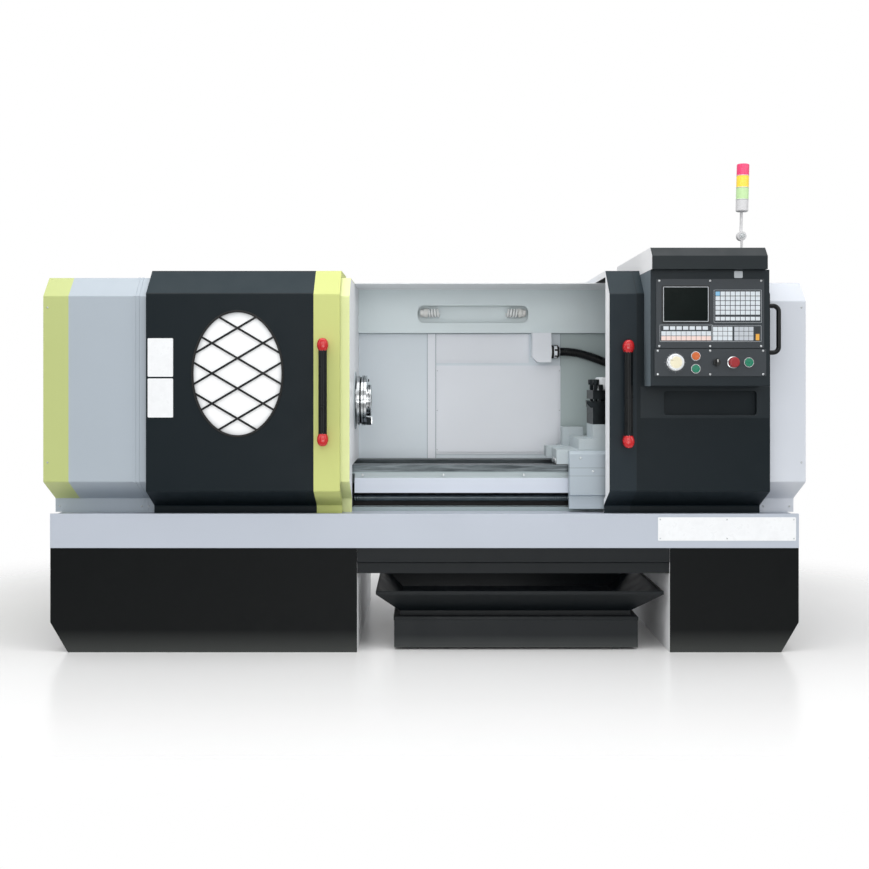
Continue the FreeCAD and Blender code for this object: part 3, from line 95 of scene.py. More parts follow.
def sprayedEnamel(name, hexColour, rough=0.36, bands=(), facing=None, dustTop=0.0, shine=0.5):
    # two-pack enamel sprayed on folded sheet: an even satin coat, slightly cloudy, with faint orange peel
    # bands are (axis, low, high, hex) in millimetres; facing is (sign along X, hex, low, high): faces turned that way
    # along X, between low and high, take that colour, a side painted lighter as painted light, over its own lighter
    # coat where it has one
    material, tree, shader, place = startMaterial(name, Specular_IOR_Level=shine)
    axes = addNode(tree, "ShaderNodeSeparateXYZ", None, {0: place})
    cloud = addNode(tree, "ShaderNodeTexNoise", None, {"Vector": place, "Scale": 1 / (enamel["cloudMm"] * mm), "Detail": 1.0})
    amount = addNode(tree, "ShaderNodeMapRange", None, {0: cloud.outputs[0], 1: 0.35, 2: 0.65, 3: 0.0, 4: 0.10})
    deeper = [c * 0.72 for c in toLinear(hexColour)[:3]] + [1.0]
    colour = addNode(tree, "ShaderNodeMix", {"data_type": "RGBA"},
                     {0: amount.outputs[0], 6: toLinear(hexColour), 7: deeper}).outputs[2]
    for axis, low, high, bandHex in bands:
        above = addNode(tree, "ShaderNodeMath", {"operation": "GREATER_THAN"}, {0: axes.outputs[axis], 1: low * mm})
        below = addNode(tree, "ShaderNodeMath", {"operation": "LESS_THAN"}, {0: axes.outputs[axis], 1: high * mm})
        inside = addNode(tree, "ShaderNodeMath", {"operation": "MULTIPLY"}, {0: above.outputs[0], 1: below.outputs[0]})
        colour = addNode(tree, "ShaderNodeMix", {"data_type": "RGBA"},
                         {0: inside.outputs[0], 6: colour, 7: toLinear(bandHex)}).outputs[2]
    # painted light: faces turned one way along X get a lighter colour, as if lit on that side
    if facing:
        normal = addNode(tree, "ShaderNodeSeparateXYZ", None, {0: addNode(tree, "ShaderNodeTexCoord").outputs["Normal"]})
        turned = addNode(tree, "ShaderNodeMath", {"operation": "MULTIPLY"}, {0: normal.outputs[0], 1: float(facing[0])})
        side = addNode(tree, "ShaderNodeMath", {"operation": "GREATER_THAN"}, {0: turned.outputs[0], 1: 0.7})
        for operation, edge in (("GREATER_THAN", facing[2]), ("LESS_THAN", facing[3])):
            near = addNode(tree, "ShaderNodeMath", {"operation": operation}, {0: axes.outputs[0], 1: edge * mm})
            side = addNode(tree, "ShaderNodeMath", {"operation": "MULTIPLY"}, {0: side.outputs[0], 1: near.outputs[0]})
        colour = addNode(tree, "ShaderNodeMix", {"data_type": "RGBA"},
                         {0: side.outputs[0], 6: colour, 7: toLinear(facing[1])}).outputs[2]
    if dustTop:
        low = addNode(tree, "ShaderNodeMapRange", None, {0: axes.outputs[2], 1: 0.0, 2: dustTop * mm, 3: 0.16, 4: 0.0})
        colour = addNode(tree, "ShaderNodeMix", {"data_type": "RGBA"},
                         {0: low.outputs[0], 6: colour, 7: toLinear(enamel["dust"])}).outputs[2]
    tree.links.new(colour, shader.inputs["Base Color"])
    smear = addNode(tree, "ShaderNodeTexNoise", None, {"Vector": place, "Scale": 1 / (enamel["smearMm"] * mm), "Detail": 4.0})
    gloss = addNode(tree, "ShaderNodeMapRange", None, {0: smear.outputs[0], 1: 0.3, 2: 0.7, 3: rough - 0.05, 4: rough + 0.07})
    tree.links.new(gloss.outputs[0], shader.inputs["Roughness"])
    peel = addNode(tree, "ShaderNodeTexNoise", None, {"Vector": place, "Scale": 1 / (enamel["peelMm"] * mm), "Detail": 1.0})
    relief = addNode(tree, "ShaderNodeBump", None,
                     {"Height": peel.outputs[0], "Distance": enamel["peelDepthMm"] * mm, "Strength": 0.35})
    tree.links.new(relief.outputs[0], shader.inputs["Normal"])
    return material


silverEnamel = sprayedEnamel("silverEnamel", enamel["silver"])
bandEnamel = sprayedEnamel("bandEnamel", "b3bac5")
leftCoverEnamel = sprayedEnamel("leftCoverEnamel", enamel["silver"], bands=((0, -1600, -1424, enamel["lime"]), (2, 540, 602, enamel["silver"])))
rightCoverEnamel = sprayedEnamel("rightCoverEnamel", enamel["silverLight"])
headCoverEnamel = sprayedEnamel("headCoverEnamel", enamel["silver"], bands=((0, -360, -200, enamel["limePale"]),))
wallEnamel = sprayedEnamel("wallEnamel", enamel["wall"], 0.45)
# On the rear wall the band over X 622–1060 is darker grey-green: a painted shadow of the right door.
rearWallEnamel = sprayedEnamel("rearWallEnamel", enamel["bayWall"], 0.45, bands=(
    (0, 622, 1060, enamel["shadedBay"]), (0, 14, 52, enamel["wall"]), (0, 11.5, 14, enamel["fold"]), (0, 50, 52.5, enamel["fold"]),
    # The white band at z 1501–1504.6 is painted light on the roof's underside, which lies in shade.
    (0, 619.5, 622, enamel["fold"]), (2, 1303, 1501, enamel["header"]), (2, 1301, 1303.5, enamel["fold"]), (2, 1501, 1504.6, enamel["white"]), (2, 1504.6, 1506, enamel["silver"])))
bulkheadEnamel = sprayedEnamel("bulkheadEnamel", enamel["white"], 0.4)
# On both doors the band from z 1437 up is lighter: a painted highlight, the top light's reflection on the chamfers.
leftDoorEnamel = sprayedEnamel("leftDoorEnamel", enamel["black"], 0.4, bands=((2, 1437, 1530, enamel["chamferSheen"]), (0, -441, -300, enamel["limeDoor"])), shine=0.16)
# The right door's faces turned to −X, X 700–760, are white: its light left return, with a painted highlight along the
# black door's edge.
rightDoorEnamel = sprayedEnamel("rightDoorEnamel", enamel["black"], 0.4, bands=((0, 700, 843.5, "1d272d"), (2, 1437, 1530, enamel["chamferSheen"]), (0, 843.2, 844.6, enamel["seam"])), shine=0.18,
                                facing=(-1, enamel["white"], 700, 760))
# The box's faces turned to −X, X 865–880, are lighter grey: a painted highlight on its left side.
boxEnamel = sprayedEnamel("boxEnamel", "192227", 0.42, shine=0.25, facing=(-1, "6a757c", 865, 880))
# The hood's faces turned to −X, X 860–880, are white: its light side panel, with a painted reflection of the bright
# surroundings.
hoodEnamel = sprayedEnamel("hoodEnamel", "141d21", 0.4, shine=0.3, facing=(-1, enamel["white"], 860, 880))
# The pedestals' inner sides, facing the work space, are white: their light grey casting, brightened as painted light
# against the shade between them.
leftLegEnamel = sprayedEnamel("leftLegEnamel", enamel["blackLow"], 0.45, shine=0.14, facing=(1, enamel["white"], -300, -265), dustTop=90)
rightLegEnamel = sprayedEnamel("rightLegEnamel", enamel["blackLow"], 0.45, shine=0.14, facing=(-1, enamel["white"], 975, 1000), dustTop=90)
panEnamel = sprayedEnamel("panEnamel", "0e1316", 0.42, dustTop=60, shine=0.25)
apronEnamel = sprayedEnamel("apronEnamel", "a9b4bc", 0.4, bands=((2, 728.4, 729.8, "5d666a"), (2, 695.4, 696.6, "6a7377")))
# The darker band at z 683.5–710 is painted shade on the recessed flange under the front way.
coverStripEnamel = sprayedEnamel("coverStripEnamel", "c9d0db", 0.4, bands=((2, 683.5, 710, "a4aeb1"),))


def castIronEnamel(name, hexColour):
    # thick brushed enamel over filled cast iron: soft, with shallow lumps left by the sand mould
    material, tree, shader, place = startMaterial(name)
    blotch = addNode(tree, "ShaderNodeTexNoise", None, {"Vector": place, "Scale": 1 / (55 * mm), "Detail": 3.0})
    tone = addNode(tree, "ShaderNodeMapRange", None, {0: blotch.outputs[0], 1: 0.3, 2: 0.7, 3: 0.0, 4: 0.22})
    deeper = [c * 0.7 for c in toLinear(hexColour)[:3]] + [1.0]
    colour = addNode(tree, "ShaderNodeMix", {"data_type": "RGBA"},
                     {0: tone.outputs[0], 6: toLinear(hexColour), 7: deeper})
    tree.links.new(colour.outputs[2], shader.inputs["Base Color"])
    shader.inputs["Roughness"].default_value = 0.5
    lumps = addNode(tree, "ShaderNodeTexNoise", None, {"Vector": place, "Scale": 1 / (9 * mm), "Detail": 3.0})
    relief = addNode(tree, "ShaderNodeBump", None, {"Height": lumps.outputs[0], "Distance": 0.3 * mm, "Strength": 0.4})
    tree.links.new(relief.outputs[0], shader.inputs["Normal"])
    return material


castingEnamel = castIronEnamel("castingEnamel", enamel["casting"])
motorEnamel = castIronEnamel("motorEnamel", "5d6c74")
capCasting = castIronEnamel("capCasting", "d9dee1")


# metals
def groundSteel(name, hexColour, rough, stretch, grindMm=2.5, stain=0.25, stainHex="3d3a38"):
    # tool steel finished on a grinder: fine parallel scratches, drawn coarse enough to show, and oil stains
    material, tree, shader, place = startMaterial(name, Metallic=1.0)
    along = addNode(tree, "ShaderNodeMapping", None, {"Vector": place, "Scale": stretch})
    scratch = addNode(tree, "ShaderNodeTexNoise", None, {"Vector": along.outputs[0], "Scale": 1 / (grindMm * mm), "Detail": 2.0})
    oil = addNode(tree, "ShaderNodeTexNoise", None, {"Vector": place, "Scale": 1 / (38 * mm), "Detail": 5.0, "Roughness": 0.65})
    spots = addNode(tree, "ShaderNodeMapRange", None, {0: oil.outputs[0], 1: 0.42, 2: 0.68, 3: 0.0, 4: stain})
    colour = addNode(tree, "ShaderNodeMix", {"data_type": "RGBA"},
                     {0: spots.outputs[0], 6: toLinear(hexColour), 7: toLinear(stainHex)})
    tree.links.new(colour.outputs[2], shader.inputs["Base Color"])
    gloss = addNode(tree, "ShaderNodeMapRange", None, {0: scratch.outputs[0], 1: 0.3, 2: 0.7, 3: rough - 0.07, 4: rough + 0.1})
    tree.links.new(gloss.outputs[0], shader.inputs["Roughness"])
    relief = addNode(tree, "ShaderNodeBump", None, {"Height": scratch.outputs[0], "Distance": 0.05 * mm, "Strength": 0.4})
    tree.links.new(relief.outputs[0], shader.inputs["Normal"])
    return material


def turnedSteel(name, hexColour, rough, axisY, axisZ, pitchMm=3.0):
    # steel turned about an axis along X: rings left by the tool, drawn coarser than the real feed so that they show
    material, tree, shader, place = startMaterial(name, Metallic=1.0)
    centred = addNode(tree, "ShaderNodeVectorMath", {"operation": "SUBTRACT"}, {0: place, 1: (0, axisY * mm, axisZ * mm)})
    flattened = addNode(tree, "ShaderNodeVectorMath", {"operation": "MULTIPLY"}, {0: centred.outputs[0], 1: (0, 1, 1)})
    radius = addNode(tree, "ShaderNodeVectorMath", {"operation": "LENGTH"}, {0: flattened.outputs[0]})
    turns = addNode(tree, "ShaderNodeMath", {"operation": "MULTIPLY"}, {0: radius.outputs["Value"], 1: math.tau / (pitchMm * mm)})
    rings = addNode(tree, "ShaderNodeMath", {"operation": "SINE"}, {0: turns.outputs[0]})
    haze = addNode(tree, "ShaderNodeTexNoise", None, {"Vector": place, "Scale": 1 / (20 * mm), "Detail": 3.0})
    tone = addNode(tree, "ShaderNodeMapRange", None, {0: haze.outputs[0], 1: 0.35, 2: 0.7, 3: 0.0, 4: 0.3})
    colour = addNode(tree, "ShaderNodeMix", {"data_type": "RGBA"},
                     {0: tone.outputs[0], 6: toLinear(hexColour), 7: toLinear("6d7276")})
    tree.links.new(colour.outputs[2], shader.inputs["Base Color"])
    gloss = addNode(tree, "ShaderNodeMapRange", None, {0: haze.outputs[0], 1: 0.3, 2: 0.7, 3: rough - 0.05, 4: rough + 0.1})
    tree.links.new(gloss.outputs[0], shader.inputs["Roughness"])
    relief = addNode(tree, "ShaderNodeBump", None, {"Height": rings.outputs[0], "Distance": 0.06 * mm, "Strength": 0.4})
    tree.links.new(relief.outputs[0], shader.inputs["Normal"])
    return material


chromedSteel = groundSteel("chromedSteel", "dfe2e4", 0.16, (1, 1, 1), 6, 0.05, "9a9fa3")     # plated and polished
zincPlatedSteel = groundSteel("zincPlatedSteel", "c6cacc", 0.28, (1, 1, 1), 3, 0.15, "8b8f90")     # bright passivated screws
quillSteel = groundSteel("quillSteel", "a9adb0", 0.28, (0.05, 1, 1))
spindleSteel = turnedSteel("spindleSteel", "c9ccce", 0.2, -140, 1002)
plateSteel = turnedSteel("plateSteel", "cfd2d4", 0.17, -140, 1002)
screwSteel = groundSteel("screwSteel", "5a6266", 0.16, (1, 1, 1), 4, 0.3, "22282a")
pulleyIron = turnedSteel("pulleyIron", "6d7071", 0.42, -140, 1002, 4.0)
blackedSteel = groundSteel("blackedSteel", "24282a", 0.38, (1, 1, 0.2), 3, 0.35, "0c0d0e")     # hot blackened tool steel, lightly oiled


def hardenedWays():
    # bed casting: enamel below, and on top the ways, flame hardened and ground, darker where oil has dried
    material, tree, shader, place = startMaterial("hardenedWays", Specular_IOR_Level=0.15)
    axes = addNode(tree, "ShaderNodeSeparateXYZ", None, {0: place})
    isWay = addNode(tree, "ShaderNodeMath", {"operation": "GREATER_THAN"}, {0: axes.outputs[2], 1: 0.7085})
    along = addNode(tree, "ShaderNodeMapping", None, {"Vector": place, "Scale": (0.06, 1, 1)})
    oil = addNode(tree, "ShaderNodeTexNoise", None, {"Vector": along.outputs[0], "Scale": 1 / (9 * mm), "Detail": 6.0, "Roughness": 0.7})
    spots = addNode(tree, "ShaderNodeMapRange", None, {0: oil.outputs[0], 1: 0.38, 2: 0.66, 3: 0.0, 4: 1.0})
    steel = addNode(tree, "ShaderNodeMix", {"data_type": "RGBA"},
                    {0: spots.outputs[0], 6: toLinear("666d70"), 7: toLinear("41474a")})
    # Painted shade: near black between z 563.5 and 660, in the recess behind the drive screw.
    isSlot = addNode(tree, "ShaderNodeMath", {"operation": "LESS_THAN"}, {0: axes.outputs[2], 1: 0.66})
    isHigh = addNode(tree, "ShaderNodeMath", {"operation": "GREATER_THAN"}, {0: axes.outputs[2], 1: 0.5635})
    slotShade = addNode(tree, "ShaderNodeMath", {"operation": "MULTIPLY"}, {0: isSlot.outputs[0], 1: isHigh.outputs[0]})
    casting = addNode(tree, "ShaderNodeMix", {"data_type": "RGBA"},
                      {0: slotShade.outputs[0], 6: toLinear("98a5a8"), 7: toLinear("0a0c0c")})
    colour = addNode(tree, "ShaderNodeMix", {"data_type": "RGBA"},
                     {0: isWay.outputs[0], 6: casting.outputs[2], 7: steel.outputs[2]})
    tree.links.new(colour.outputs[2], shader.inputs["Base Color"])
    tree.links.new(isWay.outputs[0], shader.inputs["Metallic"])
    gloss = addNode(tree, "ShaderNodeMapRange", None, {0: oil.outputs[0], 1: 0.3, 2: 0.7, 3: 0.28, 4: 0.5})
    tree.links.new(gloss.outputs[0], shader.inputs["Roughness"])
    return material


# plastics, rubber and glass
def mouldedPlastic(name, hexColour, rough=0.35, grainMm=1.6, depthMm=0.03, coat=0.0, shine=0.5):
    # injection-moulded ABS or nylon: even colour right through, with the faint grain of the mould
    material, tree, shader, place = startMaterial(name, Coat_Weight=coat, Specular_IOR_Level=shine)
    flow = addNode(tree, "ShaderNodeTexNoise", None, {"Vector": place, "Scale": 1 / (25 * mm), "Detail": 2.0})
    tone = addNode(tree, "ShaderNodeMapRange", None, {0: flow.outputs[0], 1: 0.3, 2: 0.7, 3: 0.0, 4: 0.2})
    deeper = [c * 0.75 for c in toLinear(hexColour)[:3]] + [1.0]
    colour = addNode(tree, "ShaderNodeMix", {"data_type": "RGBA"},
                     {0: tone.outputs[0], 6: toLinear(hexColour), 7: deeper})
    tree.links.new(colour.outputs[2], shader.inputs["Base Color"])
    gloss = addNode(tree, "ShaderNodeMapRange", None, {0: flow.outputs[0], 1: 0.3, 2: 0.7, 3: rough - 0.04, 4: rough + 0.06})
    tree.links.new(gloss.outputs[0], shader.inputs["Roughness"])
    grain = addNode(tree, "ShaderNodeTexNoise", None, {"Vector": place, "Scale": 1 / (grainMm * mm), "Detail": 1.0})
    relief = addNode(tree, "ShaderNodeBump", None, {"Height": grain.outputs[0], "Distance": depthMm * mm, "Strength": 0.5})
    tree.links.new(relief.outputs[0], shader.inputs["Normal"])
    return material


blackNylon = mouldedPlastic("blackNylon", "080b0d", 0.3, shine=0.3)
blackAbs = mouldedPlastic("blackAbs", "101314", 0.42)
redAbs = mouldedPlastic("redAbs", "c0141a", 0.24, coat=0.3)
greyAbs = mouldedPlastic("greyAbs", "d4d4d6", 0.4)
orangeAbs = mouldedPlastic("orangeAbs", "c8632c", 0.25, coat=0.3)
greenAbs = mouldedPlastic("greenAbs", "12775a", 0.25, coat=0.3)
emergencyRed = mouldedPlastic("emergencyRed", "94161e", 0.3, coat=0.3)
whiteAbs = mouldedPlastic("whiteAbs", "e8e8e4", 0.4)
nitrileRubber = mouldedPlastic("nitrileRubber", "121212", 0.7, 3.0, 0.08)     # wipers and gaskets, dull
beltRubber = mouldedPlastic("beltRubber", "191919", 0.75, 2.0, 0.1)
printedVinyl = mouldedPlastic("printedVinyl", "eceef0", 0.3, 8.0, 0.01)     # blank adhesive plates, slightly glossy
steelPlateGrey = mouldedPlastic("steelPlateGrey", "b9bfc4", 0.35, 6.0, 0.01)
servoPaint = mouldedPlastic("servoPaint", "15181a", 0.45)


def panelFilm():
    # polycarbonate film printed from behind: dark grey, finely textured face that scatters highlights
    material, tree, shader, place = startMaterial("panelFilm")
    velvet = addNode(tree, "ShaderNodeTexNoise", None, {"Vector": place, "Scale": 1 / (1.2 * mm), "Detail": 2.0})
    tone = addNode(tree, "ShaderNodeMix", {"data_type": "RGBA"},
                   {0: velvet.outputs[0], 6: toLinear("2d343a"), 7: toLinear("22292e")})
    tree.links.new(tone.outputs[2], shader.inputs["Base Color"])
    gloss = addNode(tree, "ShaderNodeMapRange", None, {0: velvet.outputs[0], 1: 0.3, 2: 0.7, 3: 0.4, 4: 0.55})
    tree.links.new(gloss.outputs[0], shader.inputs["Roughness"])
    relief = addNode(tree, "ShaderNodeBump", None, {"Height": velvet.outputs[0], "Distance": 0.02 * mm, "Strength": 0.4})
    tree.links.new(relief.outputs[0], shader.inputs["Normal"])
    return material


keyTint = {   # regions of the key field in millimetres: x0, x1, z0, z1, colour
    "firstKey": (1122, 1141, 1414, 1433, "7fb4d6"), "lowerRow": (912, 1107, 1241, 1261, "e7cfc8"),
    "roundKey": (1277, 1295, 1268, 1297, "20262a"), "amberKey": (1277, 1295, 1241, 1268, "dca13c"),
    "sideRow": (1195, 1271, 1241, 1297, "b9bfc6"),
}


def siliconeKeys():
    # moulded silicone keycaps, off-white and matt, a few in their own colour
    material, tree, shader, place = startMaterial("siliconeKeys", Roughness=0.5)
    axes = addNode(tree, "ShaderNodeSeparateXYZ", None, {0: place})
    dirt = addNode(tree, "ShaderNodeTexNoise", None, {"Vector": place, "Scale": 1 / (18 * mm), "Detail": 2.0})
    colour = addNode(tree, "ShaderNodeMix", {"data_type": "RGBA"},
                     {0: dirt.outputs[0], 6: toLinear("dbe4ea"), 7: toLinear("c3c8ce")}).outputs[2]
    for x0, x1, z0, z1, tintHex in keyTint.values():
        inside = 1.0
        for axis, low, high in ((0, x0, x1), (2, z0, z1)):
            above = addNode(tree, "ShaderNodeMath", {"operation": "GREATER_THAN"}, {0: axes.outputs[axis], 1: low * mm})
            below = addNode(tree, "ShaderNodeMath", {"operation": "LESS_THAN"}, {0: axes.outputs[axis], 1: high * mm})
            both = addNode(tree, "ShaderNodeMath", {"operation": "MULTIPLY"}, {0: above.outputs[0], 1: below.outputs[0]})
            inside = addNode(tree, "ShaderNodeMath", {"operation": "MULTIPLY"}, {0: both.outputs[0], 1: inside}).outputs[0]
        colour = addNode(tree, "ShaderNodeMix", {"data_type": "RGBA"},
                         {0: inside, 6: colour, 7: toLinear(tintHex)}).outputs[2]
    tree.links.new(colour, shader.inputs["Base Color"])
    return material


def opalAcrylic(centreX, centreZ, radiusX, radiusZ):
    # white acrylic window sheet: milky in the middle and greyer towards its oval edge, where the casing shades it
    material, tree, shader, place = startMaterial("opalAcrylic", Roughness=0.18)
    centred = addNode(tree, "ShaderNodeVectorMath", {"operation": "SUBTRACT"}, {0: place, 1: (centreX * mm, 0, centreZ * mm)})
    oval = addNode(tree, "ShaderNodeVectorMath", {"operation": "MULTIPLY"},
                   {0: centred.outputs[0], 1: (1 / (radiusX * mm), 0, 1 / (radiusZ * mm))})
    reach = addNode(tree, "ShaderNodeVectorMath", {"operation": "LENGTH"}, {0: oval.outputs[0]})
    haze = addNode(tree, "ShaderNodeTexNoise", None, {"Vector": place, "Scale": 1 / (120 * mm), "Detail": 2.0})
    uneven = addNode(tree, "ShaderNodeMath", {"operation": "MULTIPLY_ADD"}, {0: haze.outputs[0], 1: 0.12, 2: reach.outputs["Value"]})
    edge = addNode(tree, "ShaderNodeMapRange", {"interpolation_type": "SMOOTHSTEP"}, {0: uneven.outputs[0], 1: 0.86, 2: 1.12, 3: 0.0, 4: 1.0})
    colour = addNode(tree, "ShaderNodeMix", {"data_type": "RGBA"},
                     {0: edge.outputs[0], 6: toLinear("f4f5f6"), 7: toLinear("7d8589")})
    tree.links.new(colour.outputs[2], shader.inputs["Base Color"])
    return material


def lampLens(name, hexColour, glow):
    # tinted acrylic lens with upright ribs inside that break the light into stripes, faintly lit
    material, tree, shader, place = startMaterial(name, Roughness=0.2, Emission_Strength=glow,
                                                  Emission_Color=toLinear(hexColour), Coat_Weight=0.3)
    low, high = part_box("green_lamp")
    middle = (low + high) / 2
    centred = addNode(tree, "ShaderNodeVectorMath", {"operation": "SUBTRACT"}, {0: place, 1: (middle.x, middle.y, 0)})
    axes = addNode(tree, "ShaderNodeSeparateXYZ", None, {0: centred.outputs[0]})
    angle = addNode(tree, "ShaderNodeMath", {"operation": "ARCTAN2"}, {0: axes.outputs[1], 1: axes.outputs[0]})
    ribs = addNode(tree, "ShaderNodeMath", {"operation": "MULTIPLY"}, {0: angle.outputs[0], 1: 36.0})
    wave = addNode(tree, "ShaderNodeMath", {"operation": "SINE"}, {0: ribs.outputs[0]})
    shade = addNode(tree, "ShaderNodeMapRange", None, {0: wave.outputs[0], 1: -1.0, 2: 1.0, 3: 0.0, 4: 0.35})
    deeper = [c * 0.6 for c in toLinear(hexColour)[:3]] + [1.0]
    colour = addNode(tree, "ShaderNodeMix", {"data_type": "RGBA"}, {0: shade.outputs[0], 6: toLinear(hexColour), 7: deeper})
    tree.links.new(colour.outputs[2], shader.inputs["Base Color"])
    relief = addNode(tree, "ShaderNodeBump", None, {"Height": wave.outputs[0], "Distance": 0.4 * mm, "Strength": 0.5})
    tree.links.new(relief.outputs[0], shader.inputs["Normal"])
    return material


def screenGlass():
    # toughened glass with an anti-glare coat over a dark display: near black, hardly shiny, faintly green
    material, tree, shader, place = startMaterial("screenGlass", Specular_IOR_Level=0.08)
    murk = addNode(tree, "ShaderNodeTexNoise", None, {"Vector": place, "Scale": 1 / (60 * mm), "Detail": 2.0})
    colour = addNode(tree, "ShaderNodeMix", {"data_type": "RGBA"},
                     {0: murk.outputs[0], 6: toLinear("060d0c"), 7: toLinear("0b1513")})
    tree.links.new(colour.outputs[2], shader.inputs["Base Color"])
    wipe = addNode(tree, "ShaderNodeTexNoise", None, {"Vector": place, "Scale": 1 / (12 * mm), "Detail": 4.0})
    gloss = addNode(tree, "ShaderNodeMapRange", None, {0: wipe.outputs[0], 1: 0.3, 2: 0.7, 3: 0.12, 4: 0.24})
    tree.links.new(gloss.outputs[0], shader.inputs["Roughness"])
    return material


def spunAluminium(centreX, centreZ):
    # turned and clear-anodised aluminium dial: rings about its middle, cream-tinted coat
    material, tree, shader, place = startMaterial("spunAluminium", Metallic=1.0)
    centred = addNode(tree, "ShaderNodeVectorMath", {"operation": "SUBTRACT"}, {0: place, 1: (centreX * mm, 0, centreZ * mm)})
    flattened = addNode(tree, "ShaderNodeVectorMath", {"operation": "MULTIPLY"}, {0: centred.outputs[0], 1: (1, 0, 1)})
    radius = addNode(tree, "ShaderNodeVectorMath", {"operation": "LENGTH"}, {0: flattened.outputs[0]})
    middle = addNode(tree, "ShaderNodeMath", {"operation": "LESS_THAN"}, {0: radius.outputs["Value"], 1: 23 * mm})
    colour = addNode(tree, "ShaderNodeMix", {"data_type": "RGBA"},
                     {0: middle.outputs[0], 6: toLinear("dcdfe1"), 7: toLinear("e2dcc2")})
    tree.links.new(colour.outputs[2], shader.inputs["Base Color"])
    turns = addNode(tree, "ShaderNodeMath", {"operation": "MULTIPLY"}, {0: radius.outputs["Value"], 1: math.tau / (1.5 * mm)})
    rings = addNode(tree, "ShaderNodeMath", {"operation": "SINE"}, {0: turns.outputs[0]})
    gloss = addNode(tree, "ShaderNodeMapRange", None, {0: rings.outputs[0], 1: -1.0, 2: 1.0, 3: 0.24, 4: 0.38})
    tree.links.new(gloss.outputs[0], shader.inputs["Roughness"])
    return material


pulseLow, pulseHigh = limits("pulse_wheel")
dialAluminium = spunAluminium((pulseLow.x + pulseHigh.x) / 2, (pulseLow.z + pulseHigh.z) / 2)
paneLow, paneHigh = limits("window_pane")
windowMiddle = (paneLow + paneHigh) / 2
windowRadius = (paneHigh - paneLow) / 2
paneAcrylic = opalAcrylic(windowMiddle.x, windowMiddle.z, windowRadius.x, windowRadius.z)
displayGlass = screenGlass()
opalGlass = mouldedPlastic("opalGlass", "f3f5f4", 0.15, 20, 0.01)     # phosphor-coated glass tube, smooth and milky

finishOf = {
    "left_pedestal": leftLegEnamel, "right_pedestal": rightLegEnamel, "base_tray": bandEnamel, "front_beam": panEnamel,
    "bed": hardenedWays(), "bed_front_cover": coverStripEnamel, "feed_servo": servoPaint, "headstock": castingEnamel,
    "spindle_motor": motorEnamel, "drive_belts": beltRubber, "left_end_cover": leftCoverEnamel,
    "headstock_cover": headCoverEnamel, "right_end_cover": rightCoverEnamel, "left_bulkhead": bulkheadEnamel,
    "rear_wall": rearWallEnamel, "access_panels": wallEnamel, "work_lamp": opalGlass, "cable_boxes": wallEnamel,
    "conduit": blackNylon, "electrical_cabinet": silverEnamel, "cabinet_door": silverEnamel, "spindle": spindleSteel,
    "spindle_plate": plateSteel, "spindle_pulley": pulleyIron, "motor_pulley": pulleyIron, "drive_screw": screwSteel,
    "apron": apronEnamel, "saddle": castingEnamel, "cross_slide": castingEnamel, "tool_post": blackedSteel,
    "cutting_tools": blackedSteel, "tailstock": castingEnamel, "quill": quillSteel, "tail_centre": quillSteel,
    "tail_wheel": chromedSteel, "left_door": leftDoorEnamel, "window_pane": paneAcrylic, "window_grille": blackNylon,
    "left_handle": blackNylon, "right_door": rightDoorEnamel, "right_handle": blackNylon, "control_box": boxEnamel,
    "control_hood": hoodEnamel, "upper_panel": panelFilm(), "keypad": siliconeKeys(), "lower_panel": panelFilm(),
    "side_handle": blackNylon, "tower_hub": greyAbs, "tower_pole": greyAbs,
    "green_lamp": lampLens("greenLens", "b5d69c", 0.25), "yellow_lamp": lampLens("yellowLens", "f2cf3a", 0.25),
    "red_lamp": lampLens("redLens", "e0386c", 0.25), "orange_button": orangeAbs, "green_button": greenAbs,
    "start_button": greenAbs, "estop_button": emergencyRed, "selector_knob": blackAbs, "pulse_wheel": dialAluminium,
    "chip_pan": panEnamel, "coolant_tank": panEnamel,
}
for nodeName, node in nodes.items():
    node.data.materials.clear()
    node.data.materials.append(finishOf[nodeName])
print("stage: finishes on the frame")


# drawing helpers, all in millimetres
def makePiece(name, body, bm, material, replaced=None, sharp=35):
    bmesh.ops.recalc_face_normals(bm, faces=bm.faces)
    bmesh.ops.scale(bm, vec=(mm, mm, mm), verts=bm.verts)
    mesh = bpy.data.meshes.new(name)
    bm.to_mesh(mesh)
    bm.free()
    mesh.materials.append(material)
    for face in mesh.polygons:
        face.use_smooth = True
    mesh.set_sharp_from_angle(angle=math.radians(sharp))
    piece = bpy.data.objects.new(name, mesh)
    bpy.context.scene.collection.objects.link(piece)
    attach(piece, body)
    if replaced:
        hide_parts(replaced)
    return piece


def bridge(bm, first, second):
    # quads, or triangles to a single point, between two rings of vertices
    count = max(len(first), len(second))
    for i in range(count):
        j = (i + 1) % count
        corners = []
        for vert in (first[i % len(first)], first[j % len(first)], second[j % len(second)], second[i % len(second)]):
            if vert not in corners:
                corners.append(vert)
        bm.faces.new(corners)


def addLathe(bm, centre, axis, outline, steps=32, hexFrom=None):
    # outline is (radius, distance along the axis); rings from hexFrom on are hexagons, as in a screw's socket
    ahead = Vector(axis).normalized()
    side = ahead.orthogonal().normalized()
    up = ahead.cross(side)
    rings = []
    for index, (radius, along) in enumerate(outline):
        middle = Vector(centre) + ahead * along
        if radius == 0:
            rings.append([bm.verts.new(middle)])
            continue
        ring = []
        for i in range(steps):
            angle = math.tau * i / steps
            reach = radius
            if hexFrom is not None and index >= hexFrom:
                reach = radius / math.cos((angle % (math.pi / 3)) - math.pi / 6)
            ring.append(bm.verts.new(middle + (side * math.cos(angle) + up * math.sin(angle)) * reach))
        rings.append(ring)
    for first, second in zip(rings, rings[1:]):
        bridge(bm, first, second)


